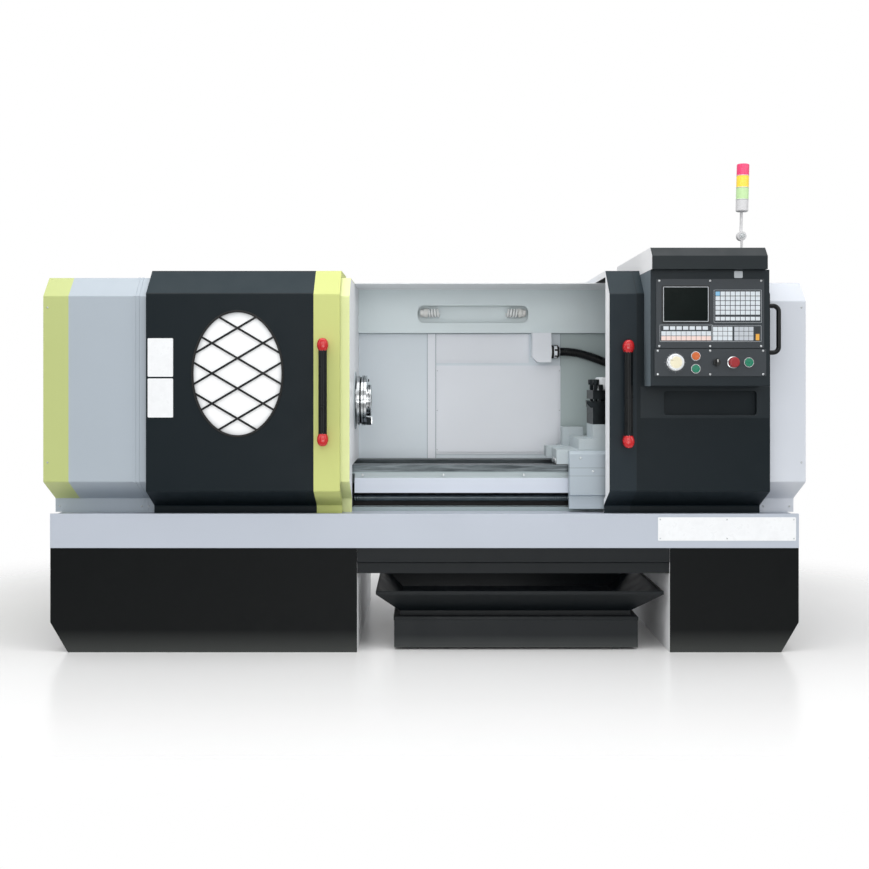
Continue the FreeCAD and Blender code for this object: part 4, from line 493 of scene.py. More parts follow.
def addScrew(bm, centre, axis, radius):
    # button-head screw with a hexagon socket
    outline = [(radius, -0.2), (radius, 0.15 * radius), (radius * 0.93, radius * 0.34), (radius * 0.7, radius * 0.55),
               (radius * 0.52, radius * 0.6), (radius * 0.5, radius * 0.6), (radius * 0.48, radius * 0.15), (0, radius * 0.1)]
    addLathe(bm, centre, axis, outline, 24, hexFrom=5)


def addBlock(bm, low, high, soften=0.0, segments=2):
    middle = (Vector(low) + Vector(high)) / 2
    size = Vector(high) - Vector(low)
    made = bmesh.ops.create_cube(bm, size=1.0, matrix=Matrix.Translation(middle) @ Matrix.Diagonal((*size, 1.0)))
    if soften:
        edges = list({edge for vert in made["verts"] for edge in vert.link_edges})
        bmesh.ops.bevel(bm, geom=edges, offset=soften, segments=segments, affect="EDGES", profile=0.6)


def roundedLoop(x0, x1, z0, z1, radius, steps=6):
    points = []
    for cx, cz, start in ((x1 - radius, z1 - radius, 0), (x0 + radius, z1 - radius, 90),
                          (x0 + radius, z0 + radius, 180), (x1 - radius, z0 + radius, 270)):
        for i in range(steps + 1):
            angle = math.radians(start + 90 * i / steps)
            points.append((cx + radius * math.cos(angle), cz + radius * math.sin(angle)))
    return points


def ovalLoop(cx, cz, rx, rz, steps=96):
    return [(cx + rx * math.cos(math.tau * i / steps), cz + rz * math.sin(math.tau * i / steps)) for i in range(steps)]


def ringAt(bm, loop, y):
    return [bm.verts.new((x, y, z)) for x, z in loop]


def addPlate(bm, x0, x1, z0, z1, front, back, radius, soften=0.4):
    # rounded plate that faces the operator, its front edge softened
    wide = roundedLoop(x0, x1, z0, z1, radius)
    narrow = roundedLoop(x0 + soften, x1 - soften, z0 + soften, z1 - soften, max(radius - soften, 0.1))
    toFront = 1 if front > back else -1
    rings = [ringAt(bm, wide, back), ringAt(bm, wide, front - toFront * soften), ringAt(bm, narrow, front)]
    bm.faces.new(rings[0])
    for first, second in zip(rings, rings[1:]):
        bridge(bm, first, second)
    bm.faces.new(rings[-1])


def addFrame(bm, outer, inner, front, back, soften=0.4):
    # flat ring between two loops of the same count, with a rolled front
    toFront = 1 if front > back else -1
    between = [[(o[0] * (1 - t) + i[0] * t, o[1] * (1 - t) + i[1] * t) for o, i in zip(outer, inner)] for t in (0.2, 0.8)]
    rings = [ringAt(bm, outer, back), ringAt(bm, outer, front - toFront * soften), ringAt(bm, between[0], front),
             ringAt(bm, between[1], front), ringAt(bm, inner, front - toFront * soften), ringAt(bm, inner, back)]
    for first, second in zip(rings, rings[1:] + rings[:1]):
        bridge(bm, first, second)


def addSweep(bm, path, radiusAt, sides=16, closed=False):
    # tube along a path; radiusAt(index, angle) gives its skin
    rings = []
    side = None
    count = len(path)
    for index, point in enumerate(path):
        before = path[index - 1] if index or closed else point
        after = path[(index + 1) % count] if index < count - 1 or closed else point
        ahead = (after - before).normalized()
        side = (ahead.orthogonal() if side is None else side - ahead * side.dot(ahead)).normalized()
        up = ahead.cross(side)
        ring = []
        for i in range(sides):
            angle = math.tau * i / sides
            ring.append(bm.verts.new(point + (side * math.cos(angle) + up * math.sin(angle)) * radiusAt(index, angle)))
        rings.append(ring)
    for first, second in zip(rings, rings[1:]):
        bridge(bm, first, second)
    if closed:
        bridge(bm, rings[-1], rings[0])
    else:
        bm.faces.new(rings[0])
        bm.faces.new(rings[-1])


def smoothLine(points, spacing):
    # evenly spaced points on the smooth curve that the route's points guide
    curve = bpy.data.curves.new("guide", "CURVE")
    curve.dimensions = "3D"
    spline = curve.splines.new("NURBS")
    spline.points.add(len(points) - 1)
    for target, point in zip(spline.points, points):
        target.co = (*point, 1.0)
    spline.order_u = 3
    spline.use_endpoint_u = True
    spline.resolution_u = 32
    holder = bpy.data.objects.new("guide", curve)
    line = [vert.co.copy() for vert in bpy.data.meshes.new_from_object(holder).vertices]
    bpy.data.objects.remove(holder)
    even, carried = [line[0]], 0.0
    for a, b in zip(line, line[1:]):
        run = (b - a).length
        while carried + run >= spacing:
            a = a + (b - a) * ((spacing - carried) / run)
            run = (b - a).length
            carried = 0.0
            even.append(a)
        carried += run
    return even


# door handles
handle = {"barRadius": 17.0, "flutes": 8, "fluteDepth": 1.6, "endWidth": 44.0, "endHeight": 60.0, "neck": 0.24}


def doorHandle(nodeName, body):
    low, high = limits(nodeName)
    x = (low.x + high.x) / 2
    barY = low.y + handle["barRadius"] + 3
    grip = bmesh.new()     # extruded nylon grip with flutes down its length
    path = [Vector((x, barY, z)) for z in (low.z + 36, high.z - 36)]
    depth = handle["fluteDepth"]
    addSweep(grip, path, lambda index, angle: handle["barRadius"] - depth * (0.5 + 0.5 * math.cos(handle["flutes"] * angle)) ** 4, 96)
    makePiece(nodeName + "Grip", body, grip, blackNylon, nodeName)
    ends = bmesh.new()     # moulded end caps: drops that stand on the door and close over the grip
    for isTop in (False, True):
        z0 = high.z - handle["endHeight"] if isTop else low.z
        middle = z0 + handle["endHeight"] / 2
        rings = []
        for y, wide, tall, lift in ((high.y, 0.80, 0.80, 0), (high.y - 4, 0.88, 0.88, 0), (high.y - 24, 0.92, 0.94, 0),
                                    (low.y + 30, 1.0, 1.0, 0), (low.y + 14, 1.0, 0.98, 1), (low.y + 5, 0.84, 0.84, 3),
                                    (low.y + 1.2, 0.56, 0.58, 5), (low.y, 0.2, 0.2, 6)):
            shift = lift if isTop else -lift
            ring = []
            for i in range(32):
                angle = math.tau * i / 32
                c, s = math.cos(angle), math.sin(angle)
                taper = 1 - handle["neck"] * max(0.0, -s if isTop else s)
                ring.append(ends.verts.new((x + handle["endWidth"] / 2 * wide * taper * math.copysign(abs(c) ** 0.8, c), y,
                                            middle + shift + handle["endHeight"] / 2 * tall * math.copysign(abs(s) ** 0.9, s))))
            rings.append(ring)
        ends.faces.new(rings[0])
        for first, second in zip(rings, rings[1:]):
            bridge(ends, first, second)
        ends.faces.new(rings[-1])
    makePiece(nodeName + "Ends", body, ends, redAbs, sharp=60)


doorHandle("left_handle", "left_door")
doorHandle("right_handle", "right_door")
print("stage: door handles")

# drive screw with its rolled thread
thread = {"pitch": 10.0, "depth": 2.4, "sides": 20, "perPitch": 6}


def driveScrew():
    low, high = limits("drive_screw")
    middle = (low + high) / 2
    radius = (high.z - low.z) / 2
    step = thread["pitch"] / thread["perPitch"]
    count = int((high.x - low.x) / step)
    bm = bmesh.new()
    path = [Vector((low.x + i * step, middle.y, middle.z)) for i in range(count + 1)] + [Vector((high.x, middle.y, middle.z))]

    def skin(index, angle):
        phase = (index * step / thread["pitch"] - angle / math.tau) % 1
        groove = max(0.0, math.sin(math.pi * phase)) ** 0.7
        fade = min(1.0, index / 12, (len(path) - 1 - index) / 12)
        return radius - thread["depth"] * groove * fade

    addSweep(bm, path, skin, thread["sides"])
    makePiece("driveScrewThread", "drive_screw", bm, screwSteel, "drive_screw", sharp=70)


driveScrew()

# ribbed conduit and its nuts
hose = {"radius": 19.5, "ribDepth": 2.2, "ribPitch": 8.0, "depthY": 97.0,
        "route": ((612, 1218), (668, 1218), (745, 1199), (830, 1166), (915, 1142), (990, 1135), (1051, 1135))}


def ribbedConduit():
    step = hose["ribPitch"] / 6
    path = smoothLine([(x, hose["depthY"], z) for x, z in hose["route"]], step)
    bm = bmesh.new()
    addSweep(bm, path, lambda index, angle: hose["radius"] - hose["ribDepth"] * (0.5 - 0.5 * math.cos(math.tau * index / 6)) ** 2, 28)
    makePiece("ribbedConduit", "machine", bm, blackNylon, "conduit", sharp=80)
    nuts = bmesh.new()     # hexagon union nuts over the plain glands of the two boxes
    for x, direction in ((572, 1), (1091, -1)):
        addLathe(nuts, (x, hose["depthY"], hose["route"][0 if direction > 0 else -1][1]), (direction, 0, 0),
                 [(26.5, 0), (26.5, 3), (29.5, 3), (29.5, 13), (28, 15), (24.5, 16), (24.5, 37), (23, 40), (19.6, 41)], 48, hexFrom=None)
        addLathe(nuts, (x, hose["depthY"], hose["route"][0 if direction > 0 else -1][1]), (direction, 0, 0),
                 [(24, 15.9), (27, 16), (27, 31), (25.5, 33), (24, 33)], 48, hexFrom=1)
    makePiece("conduitNuts", "machine", nuts, nitrileRubber)


ribbedConduit()

# spiral lamps in the header's pocket
spiral = {"coilRadius": 16.0, "tubeRadius": 5.2, "pitch": 13.0, "turns": 4, "socketLength": 34.0, "rise": 6.0}


def spiralLamps():
    low, high = limits("work_lamp")
    middleZ = (low.z + high.z) / 2 + spiral["rise"]
    y = (low.y + high.y) / 2
    glass, sockets = bmesh.new(), bmesh.new()
    for x, direction in ((low.x, 1), (high.x, -1)):
        start = x + direction * spiral["socketLength"]
        path = []
        for i in range(spiral["turns"] * 28 + 1):
            angle = math.tau * i / 28
            path.append(Vector((start + direction * spiral["pitch"] * i / 28, y + spiral["coilRadius"] * math.cos(angle),
                                middleZ + spiral["coilRadius"] * math.sin(angle))))
        addSweep(glass, path, lambda index, angle: spiral["tubeRadius"], 12)
        addLathe(sockets, (x, y, middleZ), (direction, 0, 0),
                 [(0, 0), (13, 0), (14, 1.5), (14, 12), (17, 14), (20, 20), (21, 30), (20, 34), (0, 34)], 40)
        addBlock(sockets, (min(x, x + direction * 14), y + 8, middleZ - 17), (max(x, x + direction * 14), high.y, middleZ + 17), 2)
    makePiece("spiralLampGlass", "machine", glass, opalGlass, "work_lamp", sharp=80)
    makePiece("spiralLampSockets", "machine", sockets, whiteAbs)


spiralLamps()
print("stage: screw, conduit and lamps")

# control panel
controls = {"screwInset": 12.0, "screwRadius": 4.6, "bezelWall": 3.6, "bezelRise": 5.4,
            "screen": (922, 1095, 1316, 1449), "screenRim": 6.0,
            "fields": ((1117, 1301, 1311, 1438), (908, 1111.5, 1238, 1303), (1108.5, 1300, 1238, 1300))}


def controlPanel():
    upperLow, upperHigh = limits("upper_panel")
    lowerLow, lowerHigh = limits("lower_panel")
    front = upperLow.y
    inset = controls["screwInset"]
    screws = bmesh.new()
    middle = (upperLow.x + upperHigh.x) / 2
    for x in (upperLow.x + inset, middle, upperHigh.x - inset):
        for z in (upperHigh.z - 7, upperLow.z + 7):
            addScrew(screws, (x, front, z), (0, -1, 0), controls["screwRadius"])
    for x in (lowerLow.x + inset, middle, lowerHigh.x - inset):
        for z in (lowerHigh.z - 7, lowerLow.z + 7):
            addScrew(screws, (x, front, z), (0, -1, 0), controls["screwRadius"])
    makePiece("panelScrews", "right_door", screws, zincPlatedSteel)

    x0, x1, z0, z1 = controls["screen"]
    rim = controls["screenRim"]
    frames = bmesh.new()     # moulded screen surround
    addFrame(frames, roundedLoop(x0 - rim, x1 + rim, z0 - rim, z1 + rim, 5), roundedLoop(x0 + 1, x1 - 1, z0 + 1, z1 - 1, 2),
             front - 2.2, front, 1.0)
    makePiece("screenSurround", "right_door", frames, blackAbs)
    rimLine = bmesh.new()     # bright bead around the screen and thin printed lines around the key fields
    addFrame(rimLine, roundedLoop(x0 - 1, x1 + 1, z0 - 1, z1 + 1, 3), roundedLoop(x0 + 1.2, x1 - 1.2, z0 + 1.2, z1 - 1.2, 2),
             front - 2.7, front, 0.3)
    for a, b, c, e in controls["fields"]:
        addFrame(rimLine, roundedLoop(a, b, c, e, 2), roundedLoop(a + 1, b - 1, c + 1, e - 1, 1.2), front - 0.25, front, 0.05)
    makePiece("screenBead", "right_door", rimLine, steelPlateGrey)
    glass = bmesh.new()
    addPlate(glass, x0 + 0.5, x1 - 0.5, z0 + 0.5, z1 - 0.5, front - 0.8, front + 1.4, 2, 0.5)
    makePiece("screenPane", "right_door", glass, displayGlass)

    bezels = bmesh.new()     # turned and chromed rings of the press buttons
    for buttonName in ("orange_button", "green_button", "start_button"):
        low, high = limits(buttonName)
        centre = ((low.x + high.x) / 2, front, (low.z + high.z) / 2)
        inner = (high.x - low.x) / 2 + 0.35
        outer = inner + controls["bezelWall"]
        rise = controls["bezelRise"]
        addLathe(bezels, centre, (0, -1, 0), [(outer, 0), (outer, rise * 0.45), (outer - 1.2, rise), (inner, rise), (inner, rise * 0.6)], 48)
    low, high = limits("estop_button")
    addLathe(bezels, ((low.x + high.x) / 2, front, (low.z + high.z) / 2), (0, -1, 0), [(23, 0), (23, 0.9), (21.5, 1.2), (13.4, 1.2)], 48)
    low, high = pulseLow, pulseHigh
    addLathe(bezels, ((low.x + high.x) / 2, front, (low.z + high.z) / 2), (0, -1, 0), [(33.5, 0), (33.5, 1.6), (32, 2.4), (24, 2.4)], 64)
    makePiece("buttonBezels", "right_door", bezels, chromedSteel)

    low, high = limits("selector_knob")
    pointer = bmesh.new()     # white insert on the selector's grip
    x, z = (low.x + high.x) / 2, (low.z + high.z) / 2
    addPlate(pointer, x - 1.3, x + 1.3, z + 1, high.z - 2.5, low.y - 0.4, low.y + 0.3, 1.0, 0.3)
    makePiece("selectorPointer", "selector_knob", pointer, whiteAbs)

    marks = bmesh.new()     # fixed scale around the pulse wheel
    cx, cz = (pulseLow.x + pulseHigh.x) / 2, (pulseLow.z + pulseHigh.z) / 2
    for i in range(20):
        angle = math.tau * i / 20
        inner, outer = 36, 39 if i % 5 else 41
        direction = Vector((math.cos(angle), 0, math.sin(angle)))
        across = Vector((-math.sin(angle), 0, math.cos(angle))) * 0.4
        base = Vector((cx, 0, cz))
        corners = [base + direction * inner - across, base + direction * outer - across, base + direction * outer + across, base + direction * inner + across]
        front0 = [marks.verts.new(c + Vector((0, front - 0.12, 0))) for c in corners]
        back0 = [marks.verts.new(c + Vector((0, front + 0.1, 0))) for c in corners]
        marks.faces.new(front0)
        bridge(marks, front0, back0)
        marks.faces.new(back0)
    makePiece("pulseScale", "right_door", marks, steelPlateGrey)


controlPanel()

# blank plates where makers put labels
plates = {   # x0, x1, z0, z1, front, back, body, rivets
    "upperNotice": (-1100, -999, 1103, 1256, -540.9, -539.9, "left_door", False),
    "lowerNotice": (-1100, -999, 941, 1096, -540.9, -539.9, "left_door", False),
    "bandPlate": (934, 1486, 447, 541, -511.2, -509.9, "machine", True),
    "boxSticker": (1196, 1229, 1484, 1511, -665.5, -664.9, "right_door", False),
}


def blankPlates():
    rivets = bmesh.new()
    for name, (x0, x1, z0, z1, front, back, body, riveted) in plates.items():
        bm = bmesh.new()
        addPlate(bm, x0, x1, z0, z1, front, back, 4, 0.3)
        makePiece(name, body, bm, printedVinyl if name != "boxSticker" else steelPlateGrey)
        if riveted:
            for x in (x0 + 9, (x0 + x1) / 2, x1 - 9):
                for z in (z0 + 9, z1 - 9):
                    addLathe(rivets, (x, front, z), (0, -1, 0), [(3.2, -0.2), (3.0, 0.5), (1.8, 1.2), (0, 1.5)], 20)
    makePiece("plateRivets", "machine", rivets, zincPlatedSteel)


blankPlates()

# window gasket and sheet joint
gasket = {"bead": 3.4, "lap": 1.0}


def windowGasket():
    low, high = limits("window_grille")
    cx, cz = (low.x + high.x) / 2, (low.z + high.z) / 2
    rx, rz = (high.x - low.x) / 2 + gasket["lap"], (high.z - low.z) / 2 + gasket["lap"]
    path = [Vector((x, low.y + 1.2, z)) for x, z in ovalLoop(cx, cz, rx, rz, 128)]
    bm = bmesh.new()
    addSweep(bm, path, lambda index, angle: gasket["bead"], 10, closed=True)
    makePiece("windowGasket", "left_door", bm, nitrileRubber, sharp=80)


windowGasket()

# pocket surround on the right door
surround = {"outer": (858, 1370, 938, 1065), "inner": (951, 1320, 951, 1047), "rise": 1.2}


def pocketSurround():
    a, b, c, e = surround["outer"]
    p, q, r, s = surround["inner"]
    front = limits("right_door")[0].y
    bm = bmesh.new()
    addFrame(bm, roundedLoop(a, b, c, e, 4), roundedLoop(p + 0.3, q - 0.3, r + 0.3, s - 0.3, 12), front - surround["rise"], front + 0.2, 0.4)
    makePiece("pocketSurround", "right_door", bm, boxEnamel)


pocketSurround()
print("stage: panel, plates and window")

# joint strips and screws on the fixed guards
guardLine = {"foot": (150, 545), "kneeLow": (150, 602), "kneeHigh": (0, 682), "chest": (0, 1426), "shoulder": (75, 1505), "roof": (700, 1505),
             "stripWidth": 16.0, "stripRise": 1.5, "jointX": -1152.0}


def guardStrip(bm, x0, x1, topDrop=0.0, rise=1.5):
    # a batten folded to the guards' profile
    front = -510.0
    corners = [Vector((0, front + d, z - (topDrop if z > 1000 else 0))) for d, z in
               (guardLine[k] for k in ("foot", "kneeLow", "kneeHigh", "chest", "shoulder", "roof"))]
    normals = []
    for i, corner in enumerate(corners):
        total = Vector((0, 0, 0))
        for a, b in ((i - 1, i), (i, i + 1)):
            if 0 <= a and b < len(corners):
                run = (corners[b] - corners[a]).normalized()
                total += Vector((0, -run.z, run.y))
        normals.append(total.normalized())
    for (a, na), (b, nb) in zip(zip(corners, normals), zip(corners[1:], normals[1:])):
        verts = []
        for point, normal in ((a, na), (b, nb)):
            for x, lift in ((x0, -0.2), (x0 + 0.6, rise), (x1 - 0.6, rise), (x1, -0.2)):
                verts.append(bm.verts.new(point + normal * lift + Vector((x, 0, 0))))
        bridge(bm, verts[:4], verts[4:])
        bm.faces.new(verts[:4])
        bm.faces.new(verts[4:])


def guardDetails():
    strips = bmesh.new()
    x = guardLine["jointX"]
    guardStrip(strips, x - 12, x - 3)
    guardStrip(strips, x + 3, x + 12)
    makePiece("jointBattens", "machine", strips, silverEnamel, sharp=20)
    screws = bmesh.new()
    for sx in (-1508, -1168, -1140, 1400, 1508):
        addScrew(screws, (sx, -360, 568), (0, -1, 0), 4.5)
    for sx in (-1508, 1508):
        for sz in (760, 1380):
            addScrew(screws, (sx, -510, sz), (0, -1, 0), 4.0)
    makePiece("guardScrews", "machine", screws, zincPlatedSteel)


guardDetails()

# work space fittings
def workSpaceFittings():
    screws = bmesh.new()
    for x in (-257, 79, 412):     # screws of the folded cover on the front way
        addScrew(screws, (x, -343.6, 696), (0, -1, 0), 5.5)
    low, high = limits("access_panels")
    for x in (low.x + 5, high.x - 5):
        for z in (low.z + 20, low.z + 200, low.z + 380):
            addScrew(screws, (x, low.y + 3, z), (0, -1, 0), 2.4)
    makePiece("coverScrews", "machine", screws, zincPlatedSteel)


def carriageDetails():
    wipers = bmesh.new()     # nitrile lips with a steel retainer at the saddle's ends, just clear of the way
    steel = bmesh.new()
    for x0, x1 in ((543.5, 546.8),):
        addBlock(wipers, (x0, -346, 738.2), (x1, -262, 752), 0.8)
        addBlock(steel, (x0 - 2, -346, 744), (x0, -262, 768), 0.5)
        for y in (-336, -304, -272):
            addScrew(steel, (x0 - 2, y, 760), (-1, 0, 0), 3.6)
    makePiece("saddleWipers", "carriage", wipers, nitrileRubber)
    makePiece("wiperRetainers", "carriage", steel, zincPlatedSteel)
    screws = bmesh.new()
    for x, z in ((692, 716), (870, 716), (640, 770), (860, 770)):
        addScrew(screws, (x, -392, z), (0, -1, 0), 5.0)
    makePiece("apronScrews", "carriage", screws, zincPlatedSteel)


turret = {"capHalf": 66.0, "capRise": 50.0, "boltAcross": 13.0, "boltRise": 44.0, "plateInset": 22.0}


def turretDetails():
    low, high = limits("tool_post")
    cx, cy = (low.x + high.x) / 2, (low.y + high.y) / 2
    headTop = high.z - 56.0
    inset = turret["plateInset"]
    plate = bmesh.new()     # ground top plate around the round cap
    addBlock(plate, (low.x + inset, low.y + inset, headTop - 0.5), (high.x - inset, high.y - inset, headTop + 6), 1.5)
    makePiece("headTopPlate", "turret", plate, quillSteel)
    cap = bmesh.new()     # cast gear cover over the indexing shaft, its corners rounded
    half = turret["capHalf"]
    rings = []
    for drop, grow, corner in ((5, 0, 18), (14, 0, 18), (18, -2, 17), (turret["capRise"], -6, 15), (turret["capRise"] + 4, -10, 12)):
        loop = roundedLoop(cx - half - grow, cx + half + grow, cy - half - grow, cy + half + grow, corner)
        rings.append([cap.verts.new((x, y, headTop + drop)) for x, y in loop])
    cap.faces.new(rings[0])
    for first, second in zip(rings, rings[1:]):
        bridge(cap, first, second)
    cap.faces.new(rings[-1])
    makePiece("turretCap", "turret", cap, capCasting)
    bolts = bmesh.new()     # hexagon clamp bolts on collars at the head's sides
    for side in (-1, 1):
        for y in (cy - 55, cy + 55):
            addLathe(bolts, (cx + side * ((high.x - low.x) / 2 - 16), y, headTop), (0, 0, 1),
                     [(0, 23), (15, 23), (15, 29), (turret["boltAcross"], 29.5), (turret["boltAcross"], turret["boltRise"]),
                      (turret["boltAcross"] - 2, turret["boltRise"] + 1.5), (0, turret["boltRise"] + 1.5)], 36, hexFrom=3)
    makePiece("turretBolts", "turret", bolts, blackedSteel)


def spindleDetails():
    low, high = limits("spindle_plate")
    cy, cz = -140.0, 1002.0
    screws = bmesh.new()
    for i in range(6):
        angle = math.tau * (i + 0.5) / 6
        addScrew(screws, (high.x - 18, cy + 86 * math.cos(angle), cz + 86 * math.sin(angle)), (1, 0, 0), 7.0)
    makePiece("plateScrews", "spindle", screws, blackedSteel)
    grooves = bmesh.new()     # dark rings over the grooves between the bright lands of the rim and nose
    for x, radius, wide in ((low.x + 10.2, 100.8, 7.6), (low.x + 26, 107.9, 3.5), (high.x - 13, 67.9, 4.0)):
        addLathe(grooves, (x, cy, cz), (1, 0, 0), [(radius - 1.5, 0), (radius, 0.4), (radius, wide - 0.4), (radius - 1.5, wide)], 96)
    makePiece("plateGrooves", "spindle", grooves, blackedSteel, sharp=60)
    dog = bmesh.new()     # driving dog clamped under the plate
    addBlock(dog, (high.x - 46, cy - 19, cz - 106), (high.x - 4, cy + 19, cz - 72), 3.0, 3)
    makePiece("driveDog", "spindle", dog, blackedSteel)


workSpaceFittings()
carriageDetails()
turretDetails()
spindleDetails()
print("stage: guards, carriage, turret and spindle")

# signal tower
tower = {"ringRadius": 25.6, "ringRise": 2.4}


def towerRings():
    rings = bmesh.new()
    lean = math.radians(1.5)
    ahead = Vector((math.sin(lean), 0, math.cos(lean)))
    for lampName in ("green_lamp", "yellow_lamp", "red_lamp"):
        low, high = limits(lampName)
        middle = (low + high) / 2
        base = middle - ahead * ((high.z - low.z) / 2 - 1.2)
        addLathe(rings, base, ahead, [(22, 0), (tower["ringRadius"] - 0.4, 0), (tower["ringRadius"], 0.5), (tower["ringRadius"], tower["ringRise"] - 0.5),
                                      (tower["ringRadius"] - 0.4, tower["ringRise"]), (22, tower["ringRise"])], 64)
    makePiece("towerRings", "tower", rings, greyAbs)
    low, high = limits("tower_hub")
    bolt = bmesh.new()
    middle = (low + high) / 2
    addLathe(bolt, (middle.x, low.y, high.z - 19), (0, -1, 0), [(11, -0.2), (11, 0.6), (7.2, 0.6), (7.2, 4.6), (6.4, 5.2), (0, 5.2)], 36, hexFrom=2)
    makePiece("hubBolt", "right_door", bolt, zincPlatedSteel)


towerRings()

# coolant unit


def coolantDetails():
    low, high = limits("chip_pan")
    lip = bmesh.new()     # rolled hem along the pan's edge
    loop = [Vector((low.x + 3, low.y + 3, high.z - 2)), Vector((high.x - 3, low.y + 3, high.z - 2)),
            Vector((high.x - 3, high.y - 3, high.z - 2)), Vector((low.x + 3, high.y - 3, high.z - 2))]
    path = []
    for a, b in zip(loop, loop[1:] + loop[:1]):
        for i in range(12):
            path.append(a.lerp(b, i / 12))
    addSweep(lip, path, lambda index, angle: 3.0, 10, closed=True)
    makePiece("panHem", "coolant_unit", lip, panEnamel, sharp=80)
    low, high = limits("coolant_tank")
    fittings = bmesh.new()
    addLathe(fittings, (low.x + 80, high.y, 38), (0, 1, 0), [(17, -0.5), (17, 3), (13, 4), (13, 10), (11.5, 11.5), (0, 11.5)], 48, hexFrom=3)
    makePiece("drainPlug", "coolant_unit", fittings, zincPlatedSteel)
    rim = bmesh.new()
    for x0, x1, y0, y1 in ((low.x - 2, high.x + 2, low.y - 2, low.y + 1), (low.x - 2, high.x + 2, high.y - 1, high.y + 2),
                           (low.x - 2, low.x + 1, low.y + 1, high.y - 1), (high.x - 1, high.x + 2, low.y + 1, high.y - 1)):
        addBlock(rim, (x0, y0, high.z - 14), (x1, y1, high.z - 2), 0.8)
    makePiece("tankRim", "coolant_unit", rim, panEnamel)


coolantDetails()

# rear: cabinet louvres, lock, hatches
rear = {"louvreWidth": 150.0, "louvrePitch": 18.0, "louvreRows": 9, "louvreDeep": 6.0}


def louvreBlock(bm, x, z, y, facing):
    # pressed ventilation louvres: half-round hoods, open downwards
    half = rear["louvreWidth"] / 2
    for row in range(rear["louvreRows"]):
        base = z + row * rear["louvrePitch"]
        rings = []
        for i in range(13):
            t = i / 12
            px = x - half + 2 * half * t
            swell = math.sin(math.pi * min(max(t * 6, 0), 1) / 2) * math.sin(math.pi * min(max((1 - t) * 6, 0), 1) / 2)
            deep = 0.4 + rear["louvreDeep"] * swell
            rings.append([bm.verts.new((px, y - facing * 0.2, base + 11)), bm.verts.new((px, y + facing * deep * 0.75, base + 6)),
                          bm.verts.new((px, y + facing * deep, base)), bm.verts.new((px, y - facing * 0.2, base))])
        for first, second in zip(rings, rings[1:]):
            bridge(bm, first, second)
        bm.faces.new(rings[0])
        bm.faces.new(rings[-1])


def rearDetails():
    low, high = limits("cabinet_door")
    skinY = high.y - 12.0
    louvres = bmesh.new()
    for x in (low.x + 330, low.x + 970):
        for z in (low.z + 90, high.z - 270):
            louvreBlock(louvres, x, z, skinY, 1)
    makePiece("cabinetLouvres", "cabinet_door", louvres, silverEnamel, sharp=30)
    lock = bmesh.new()
    lx, lz = low.x + 48, (low.z + high.z) / 2
    addLathe(lock, (lx, high.y - 1.0, lz + 34), (0, 1, 0), [(0, 0.8), (4, 0.9), (7, 0.9), (8, 0.4), (8, -0.5)], 32)
    addLathe(lock, (lx, high.y - 1.0, lz - 20), (0, 1, 0), [(0, 0.8), (9, 0.9), (10.5, 0.4), (10.5, -0.5)], 32)
    makePiece("cabinetLock", "cabinet_door", lock, chromedSteel)
    hatch = bmesh.new()
    screws = bmesh.new()
    for nodeName, x0, x1 in (("left_pedestal", -1330, -800), ("right_pedestal", 1090, 1400)):
        back = limits(nodeName)[1].y
        addPlate(hatch, x0, x1, 90, 350, back + 2.0, back - 0.2, 14, 0.8)
        for x in (x0 + 18, x1 - 18):
            for z in (108, 332):
                addScrew(screws, (x, back + 2.0, z), (0, 1, 0), 6.0)
    makePiece("legHatches", "machine", hatch, panEnamel)
    makePiece("hatchScrews", "machine", screws, zincPlatedSteel)


rearDetails()
print("stage: tower, coolant unit and rear")

# camera, light and floor
view = {"distance": 4.5, "height": 1.09, "frontY": -0.51, "focal": 1125.0, "frameSize": 869.0,
        "middle": 424.5, "horizon": 380.0, "sensor": 36.0}
light = {"below": 0.40, "above": 0.80, "top": 112.0, "front": 64.0, "low": 30.0, "side": 27.0, "floor": "f2f2f2", "sheet": (0.35, 1.5)}


def standCamera():
    data = bpy.data.cameras.new("camera")
    data.sensor_width = view["sensor"]
    data.lens = view["focal"] / view["frameSize"] * view["sensor"]
    half = view["frameSize"] / 2
    data.shift_x = (half - view["middle"]) / view["frameSize"]
    data.shift_y = (view["horizon"] - half) / view["frameSize"]
    camera = bpy.data.objects.new("camera", data)
    camera.location = (0, view["frontY"] - view["distance"], view["height"])
    camera.rotation_euler = (math.radians(90), 0, 0)
    bpy.context.scene.collection.objects.link(camera)
    bpy.context.scene.camera = camera


def softBox(name, place, target, width, height, watts):
    data = bpy.data.lights.new(name, "AREA")
    data.shape, data.size, data.size_y, data.energy = "RECTANGLE", width, height, watts
    lamp = bpy.data.objects.new(name, data)
    lamp.location = place
    lamp.rotation_euler = (Vector(target) - Vector(place)).to_track_quat("-Z", "Y").to_euler()
    bpy.context.scene.collection.objects.link(lamp)


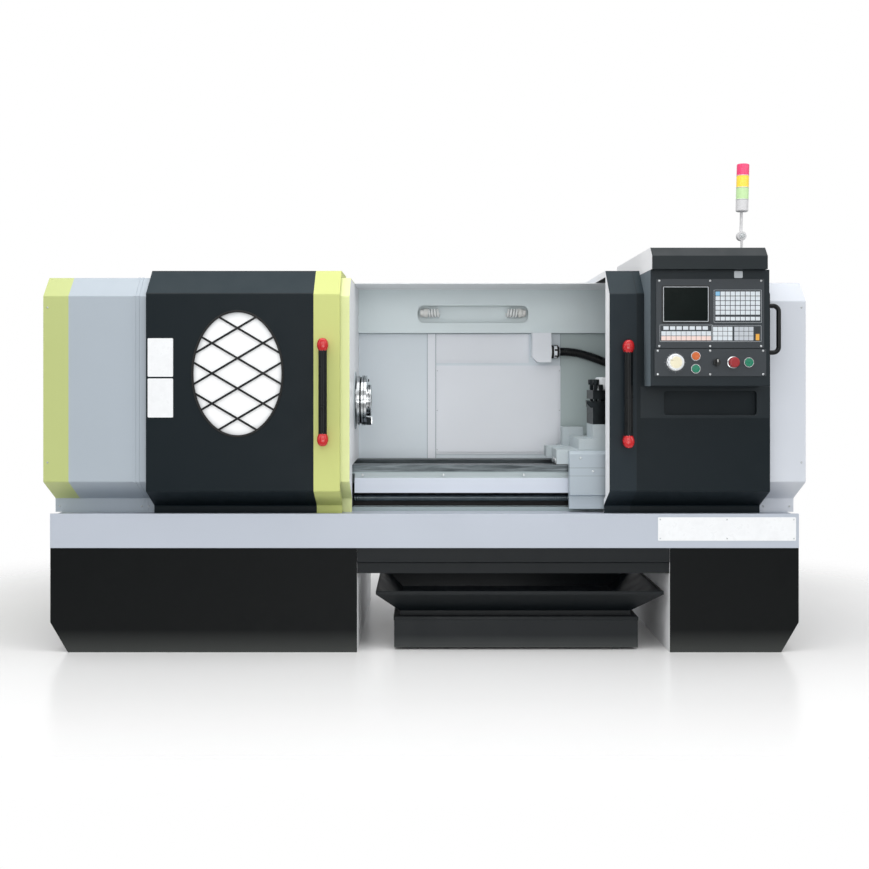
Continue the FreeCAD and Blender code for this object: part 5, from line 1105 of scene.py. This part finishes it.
def studio():
    softBox("topLight", (0.0, -1.4, 4.4), (0, -0.2, 0.6), 5.0, 3.0, light["top"])
    softBox("frontLight", (0.0, -6.5, 2.6), (0, 0, 0.9), 5.0, 2.0, light["front"])
    softBox("lowLight", (0.3, -5.6, 0.5), (0.3, 0, 1.5), 3.0, 0.7, light["low"])
    softBox("leftLight", (-4.6, -3.4, 2.6), (0, 0, 0.9), 2.4, 2.4, light["side"])
    softBox("rightLight", (4.6, -3.4, 2.6), (0, 0, 0.9), 2.4, 2.4, light["side"] * 1.4)
    world = bpy.data.worlds.new("studio")
    world.use_nodes = True
    tree = world.node_tree
    upward = addNode(tree, "ShaderNodeSeparateXYZ", None, {0: addNode(tree, "ShaderNodeTexCoord").outputs["Generated"]})
    height = addNode(tree, "ShaderNodeMapRange", None, {0: upward.outputs[2], 1: -0.3, 2: 0.7, 3: light["below"], 4: light["above"]})
    soft = addNode(tree, "ShaderNodeBackground", None, {"Color": toLinear("ffffff"), "Strength": height.outputs[0]})
    backdrop = addNode(tree, "ShaderNodeBackground", None, {"Color": toLinear("ffffff"), "Strength": 1.0})
    seen = addNode(tree, "ShaderNodeLightPath")
    both = addNode(tree, "ShaderNodeMixShader", None,
                   {0: seen.outputs["Is Camera Ray"], 1: soft.outputs[0], 2: backdrop.outputs[0]})
    tree.links.new(both.outputs[0], tree.nodes["World Output"].inputs["Surface"])
    bpy.context.scene.world = world
    bpy.context.scene.view_settings.view_transform = "Standard"
    mesh = bpy.data.meshes.new("floor")
    mesh.from_pydata([(-30, -30, 0), (30, -30, 0), (30, 30, 0), (-30, 30, 0)], [], [(0, 1, 2, 3)])
    floor = bpy.data.objects.new("floor", mesh)
    bpy.context.scene.collection.objects.link(floor)
    material, tree, shader, place = startMaterial("paleFloor", Base_Color=toLinear(light["floor"]), Roughness=0.22)
    absolute = addNode(tree, "ShaderNodeVectorMath", {"operation": "ABSOLUTE"}, {0: place})     # pale sheet that ends softly
    beyond = addNode(tree, "ShaderNodeVectorMath", {"operation": "SUBTRACT"}, {0: absolute.outputs[0], 1: (1.5, 0.7, 0)})
    outside = addNode(tree, "ShaderNodeVectorMath", {"operation": "MAXIMUM"}, {0: beyond.outputs[0], 1: (0, 0, 0)})
    away = addNode(tree, "ShaderNodeVectorMath", {"operation": "LENGTH"}, {0: outside.outputs[0]})
    fade = addNode(tree, "ShaderNodeMapRange", {"interpolation_type": "SMOOTHSTEP"},
                   {0: away.outputs["Value"], 1: light["sheet"][0], 2: light["sheet"][1], 3: 1.0, 4: 0.0})
    tree.links.new(fade.outputs[0], shader.inputs["Alpha"])
    floor.data.materials.append(material)


standCamera()
studio()
print("stage: camera, light and floor")
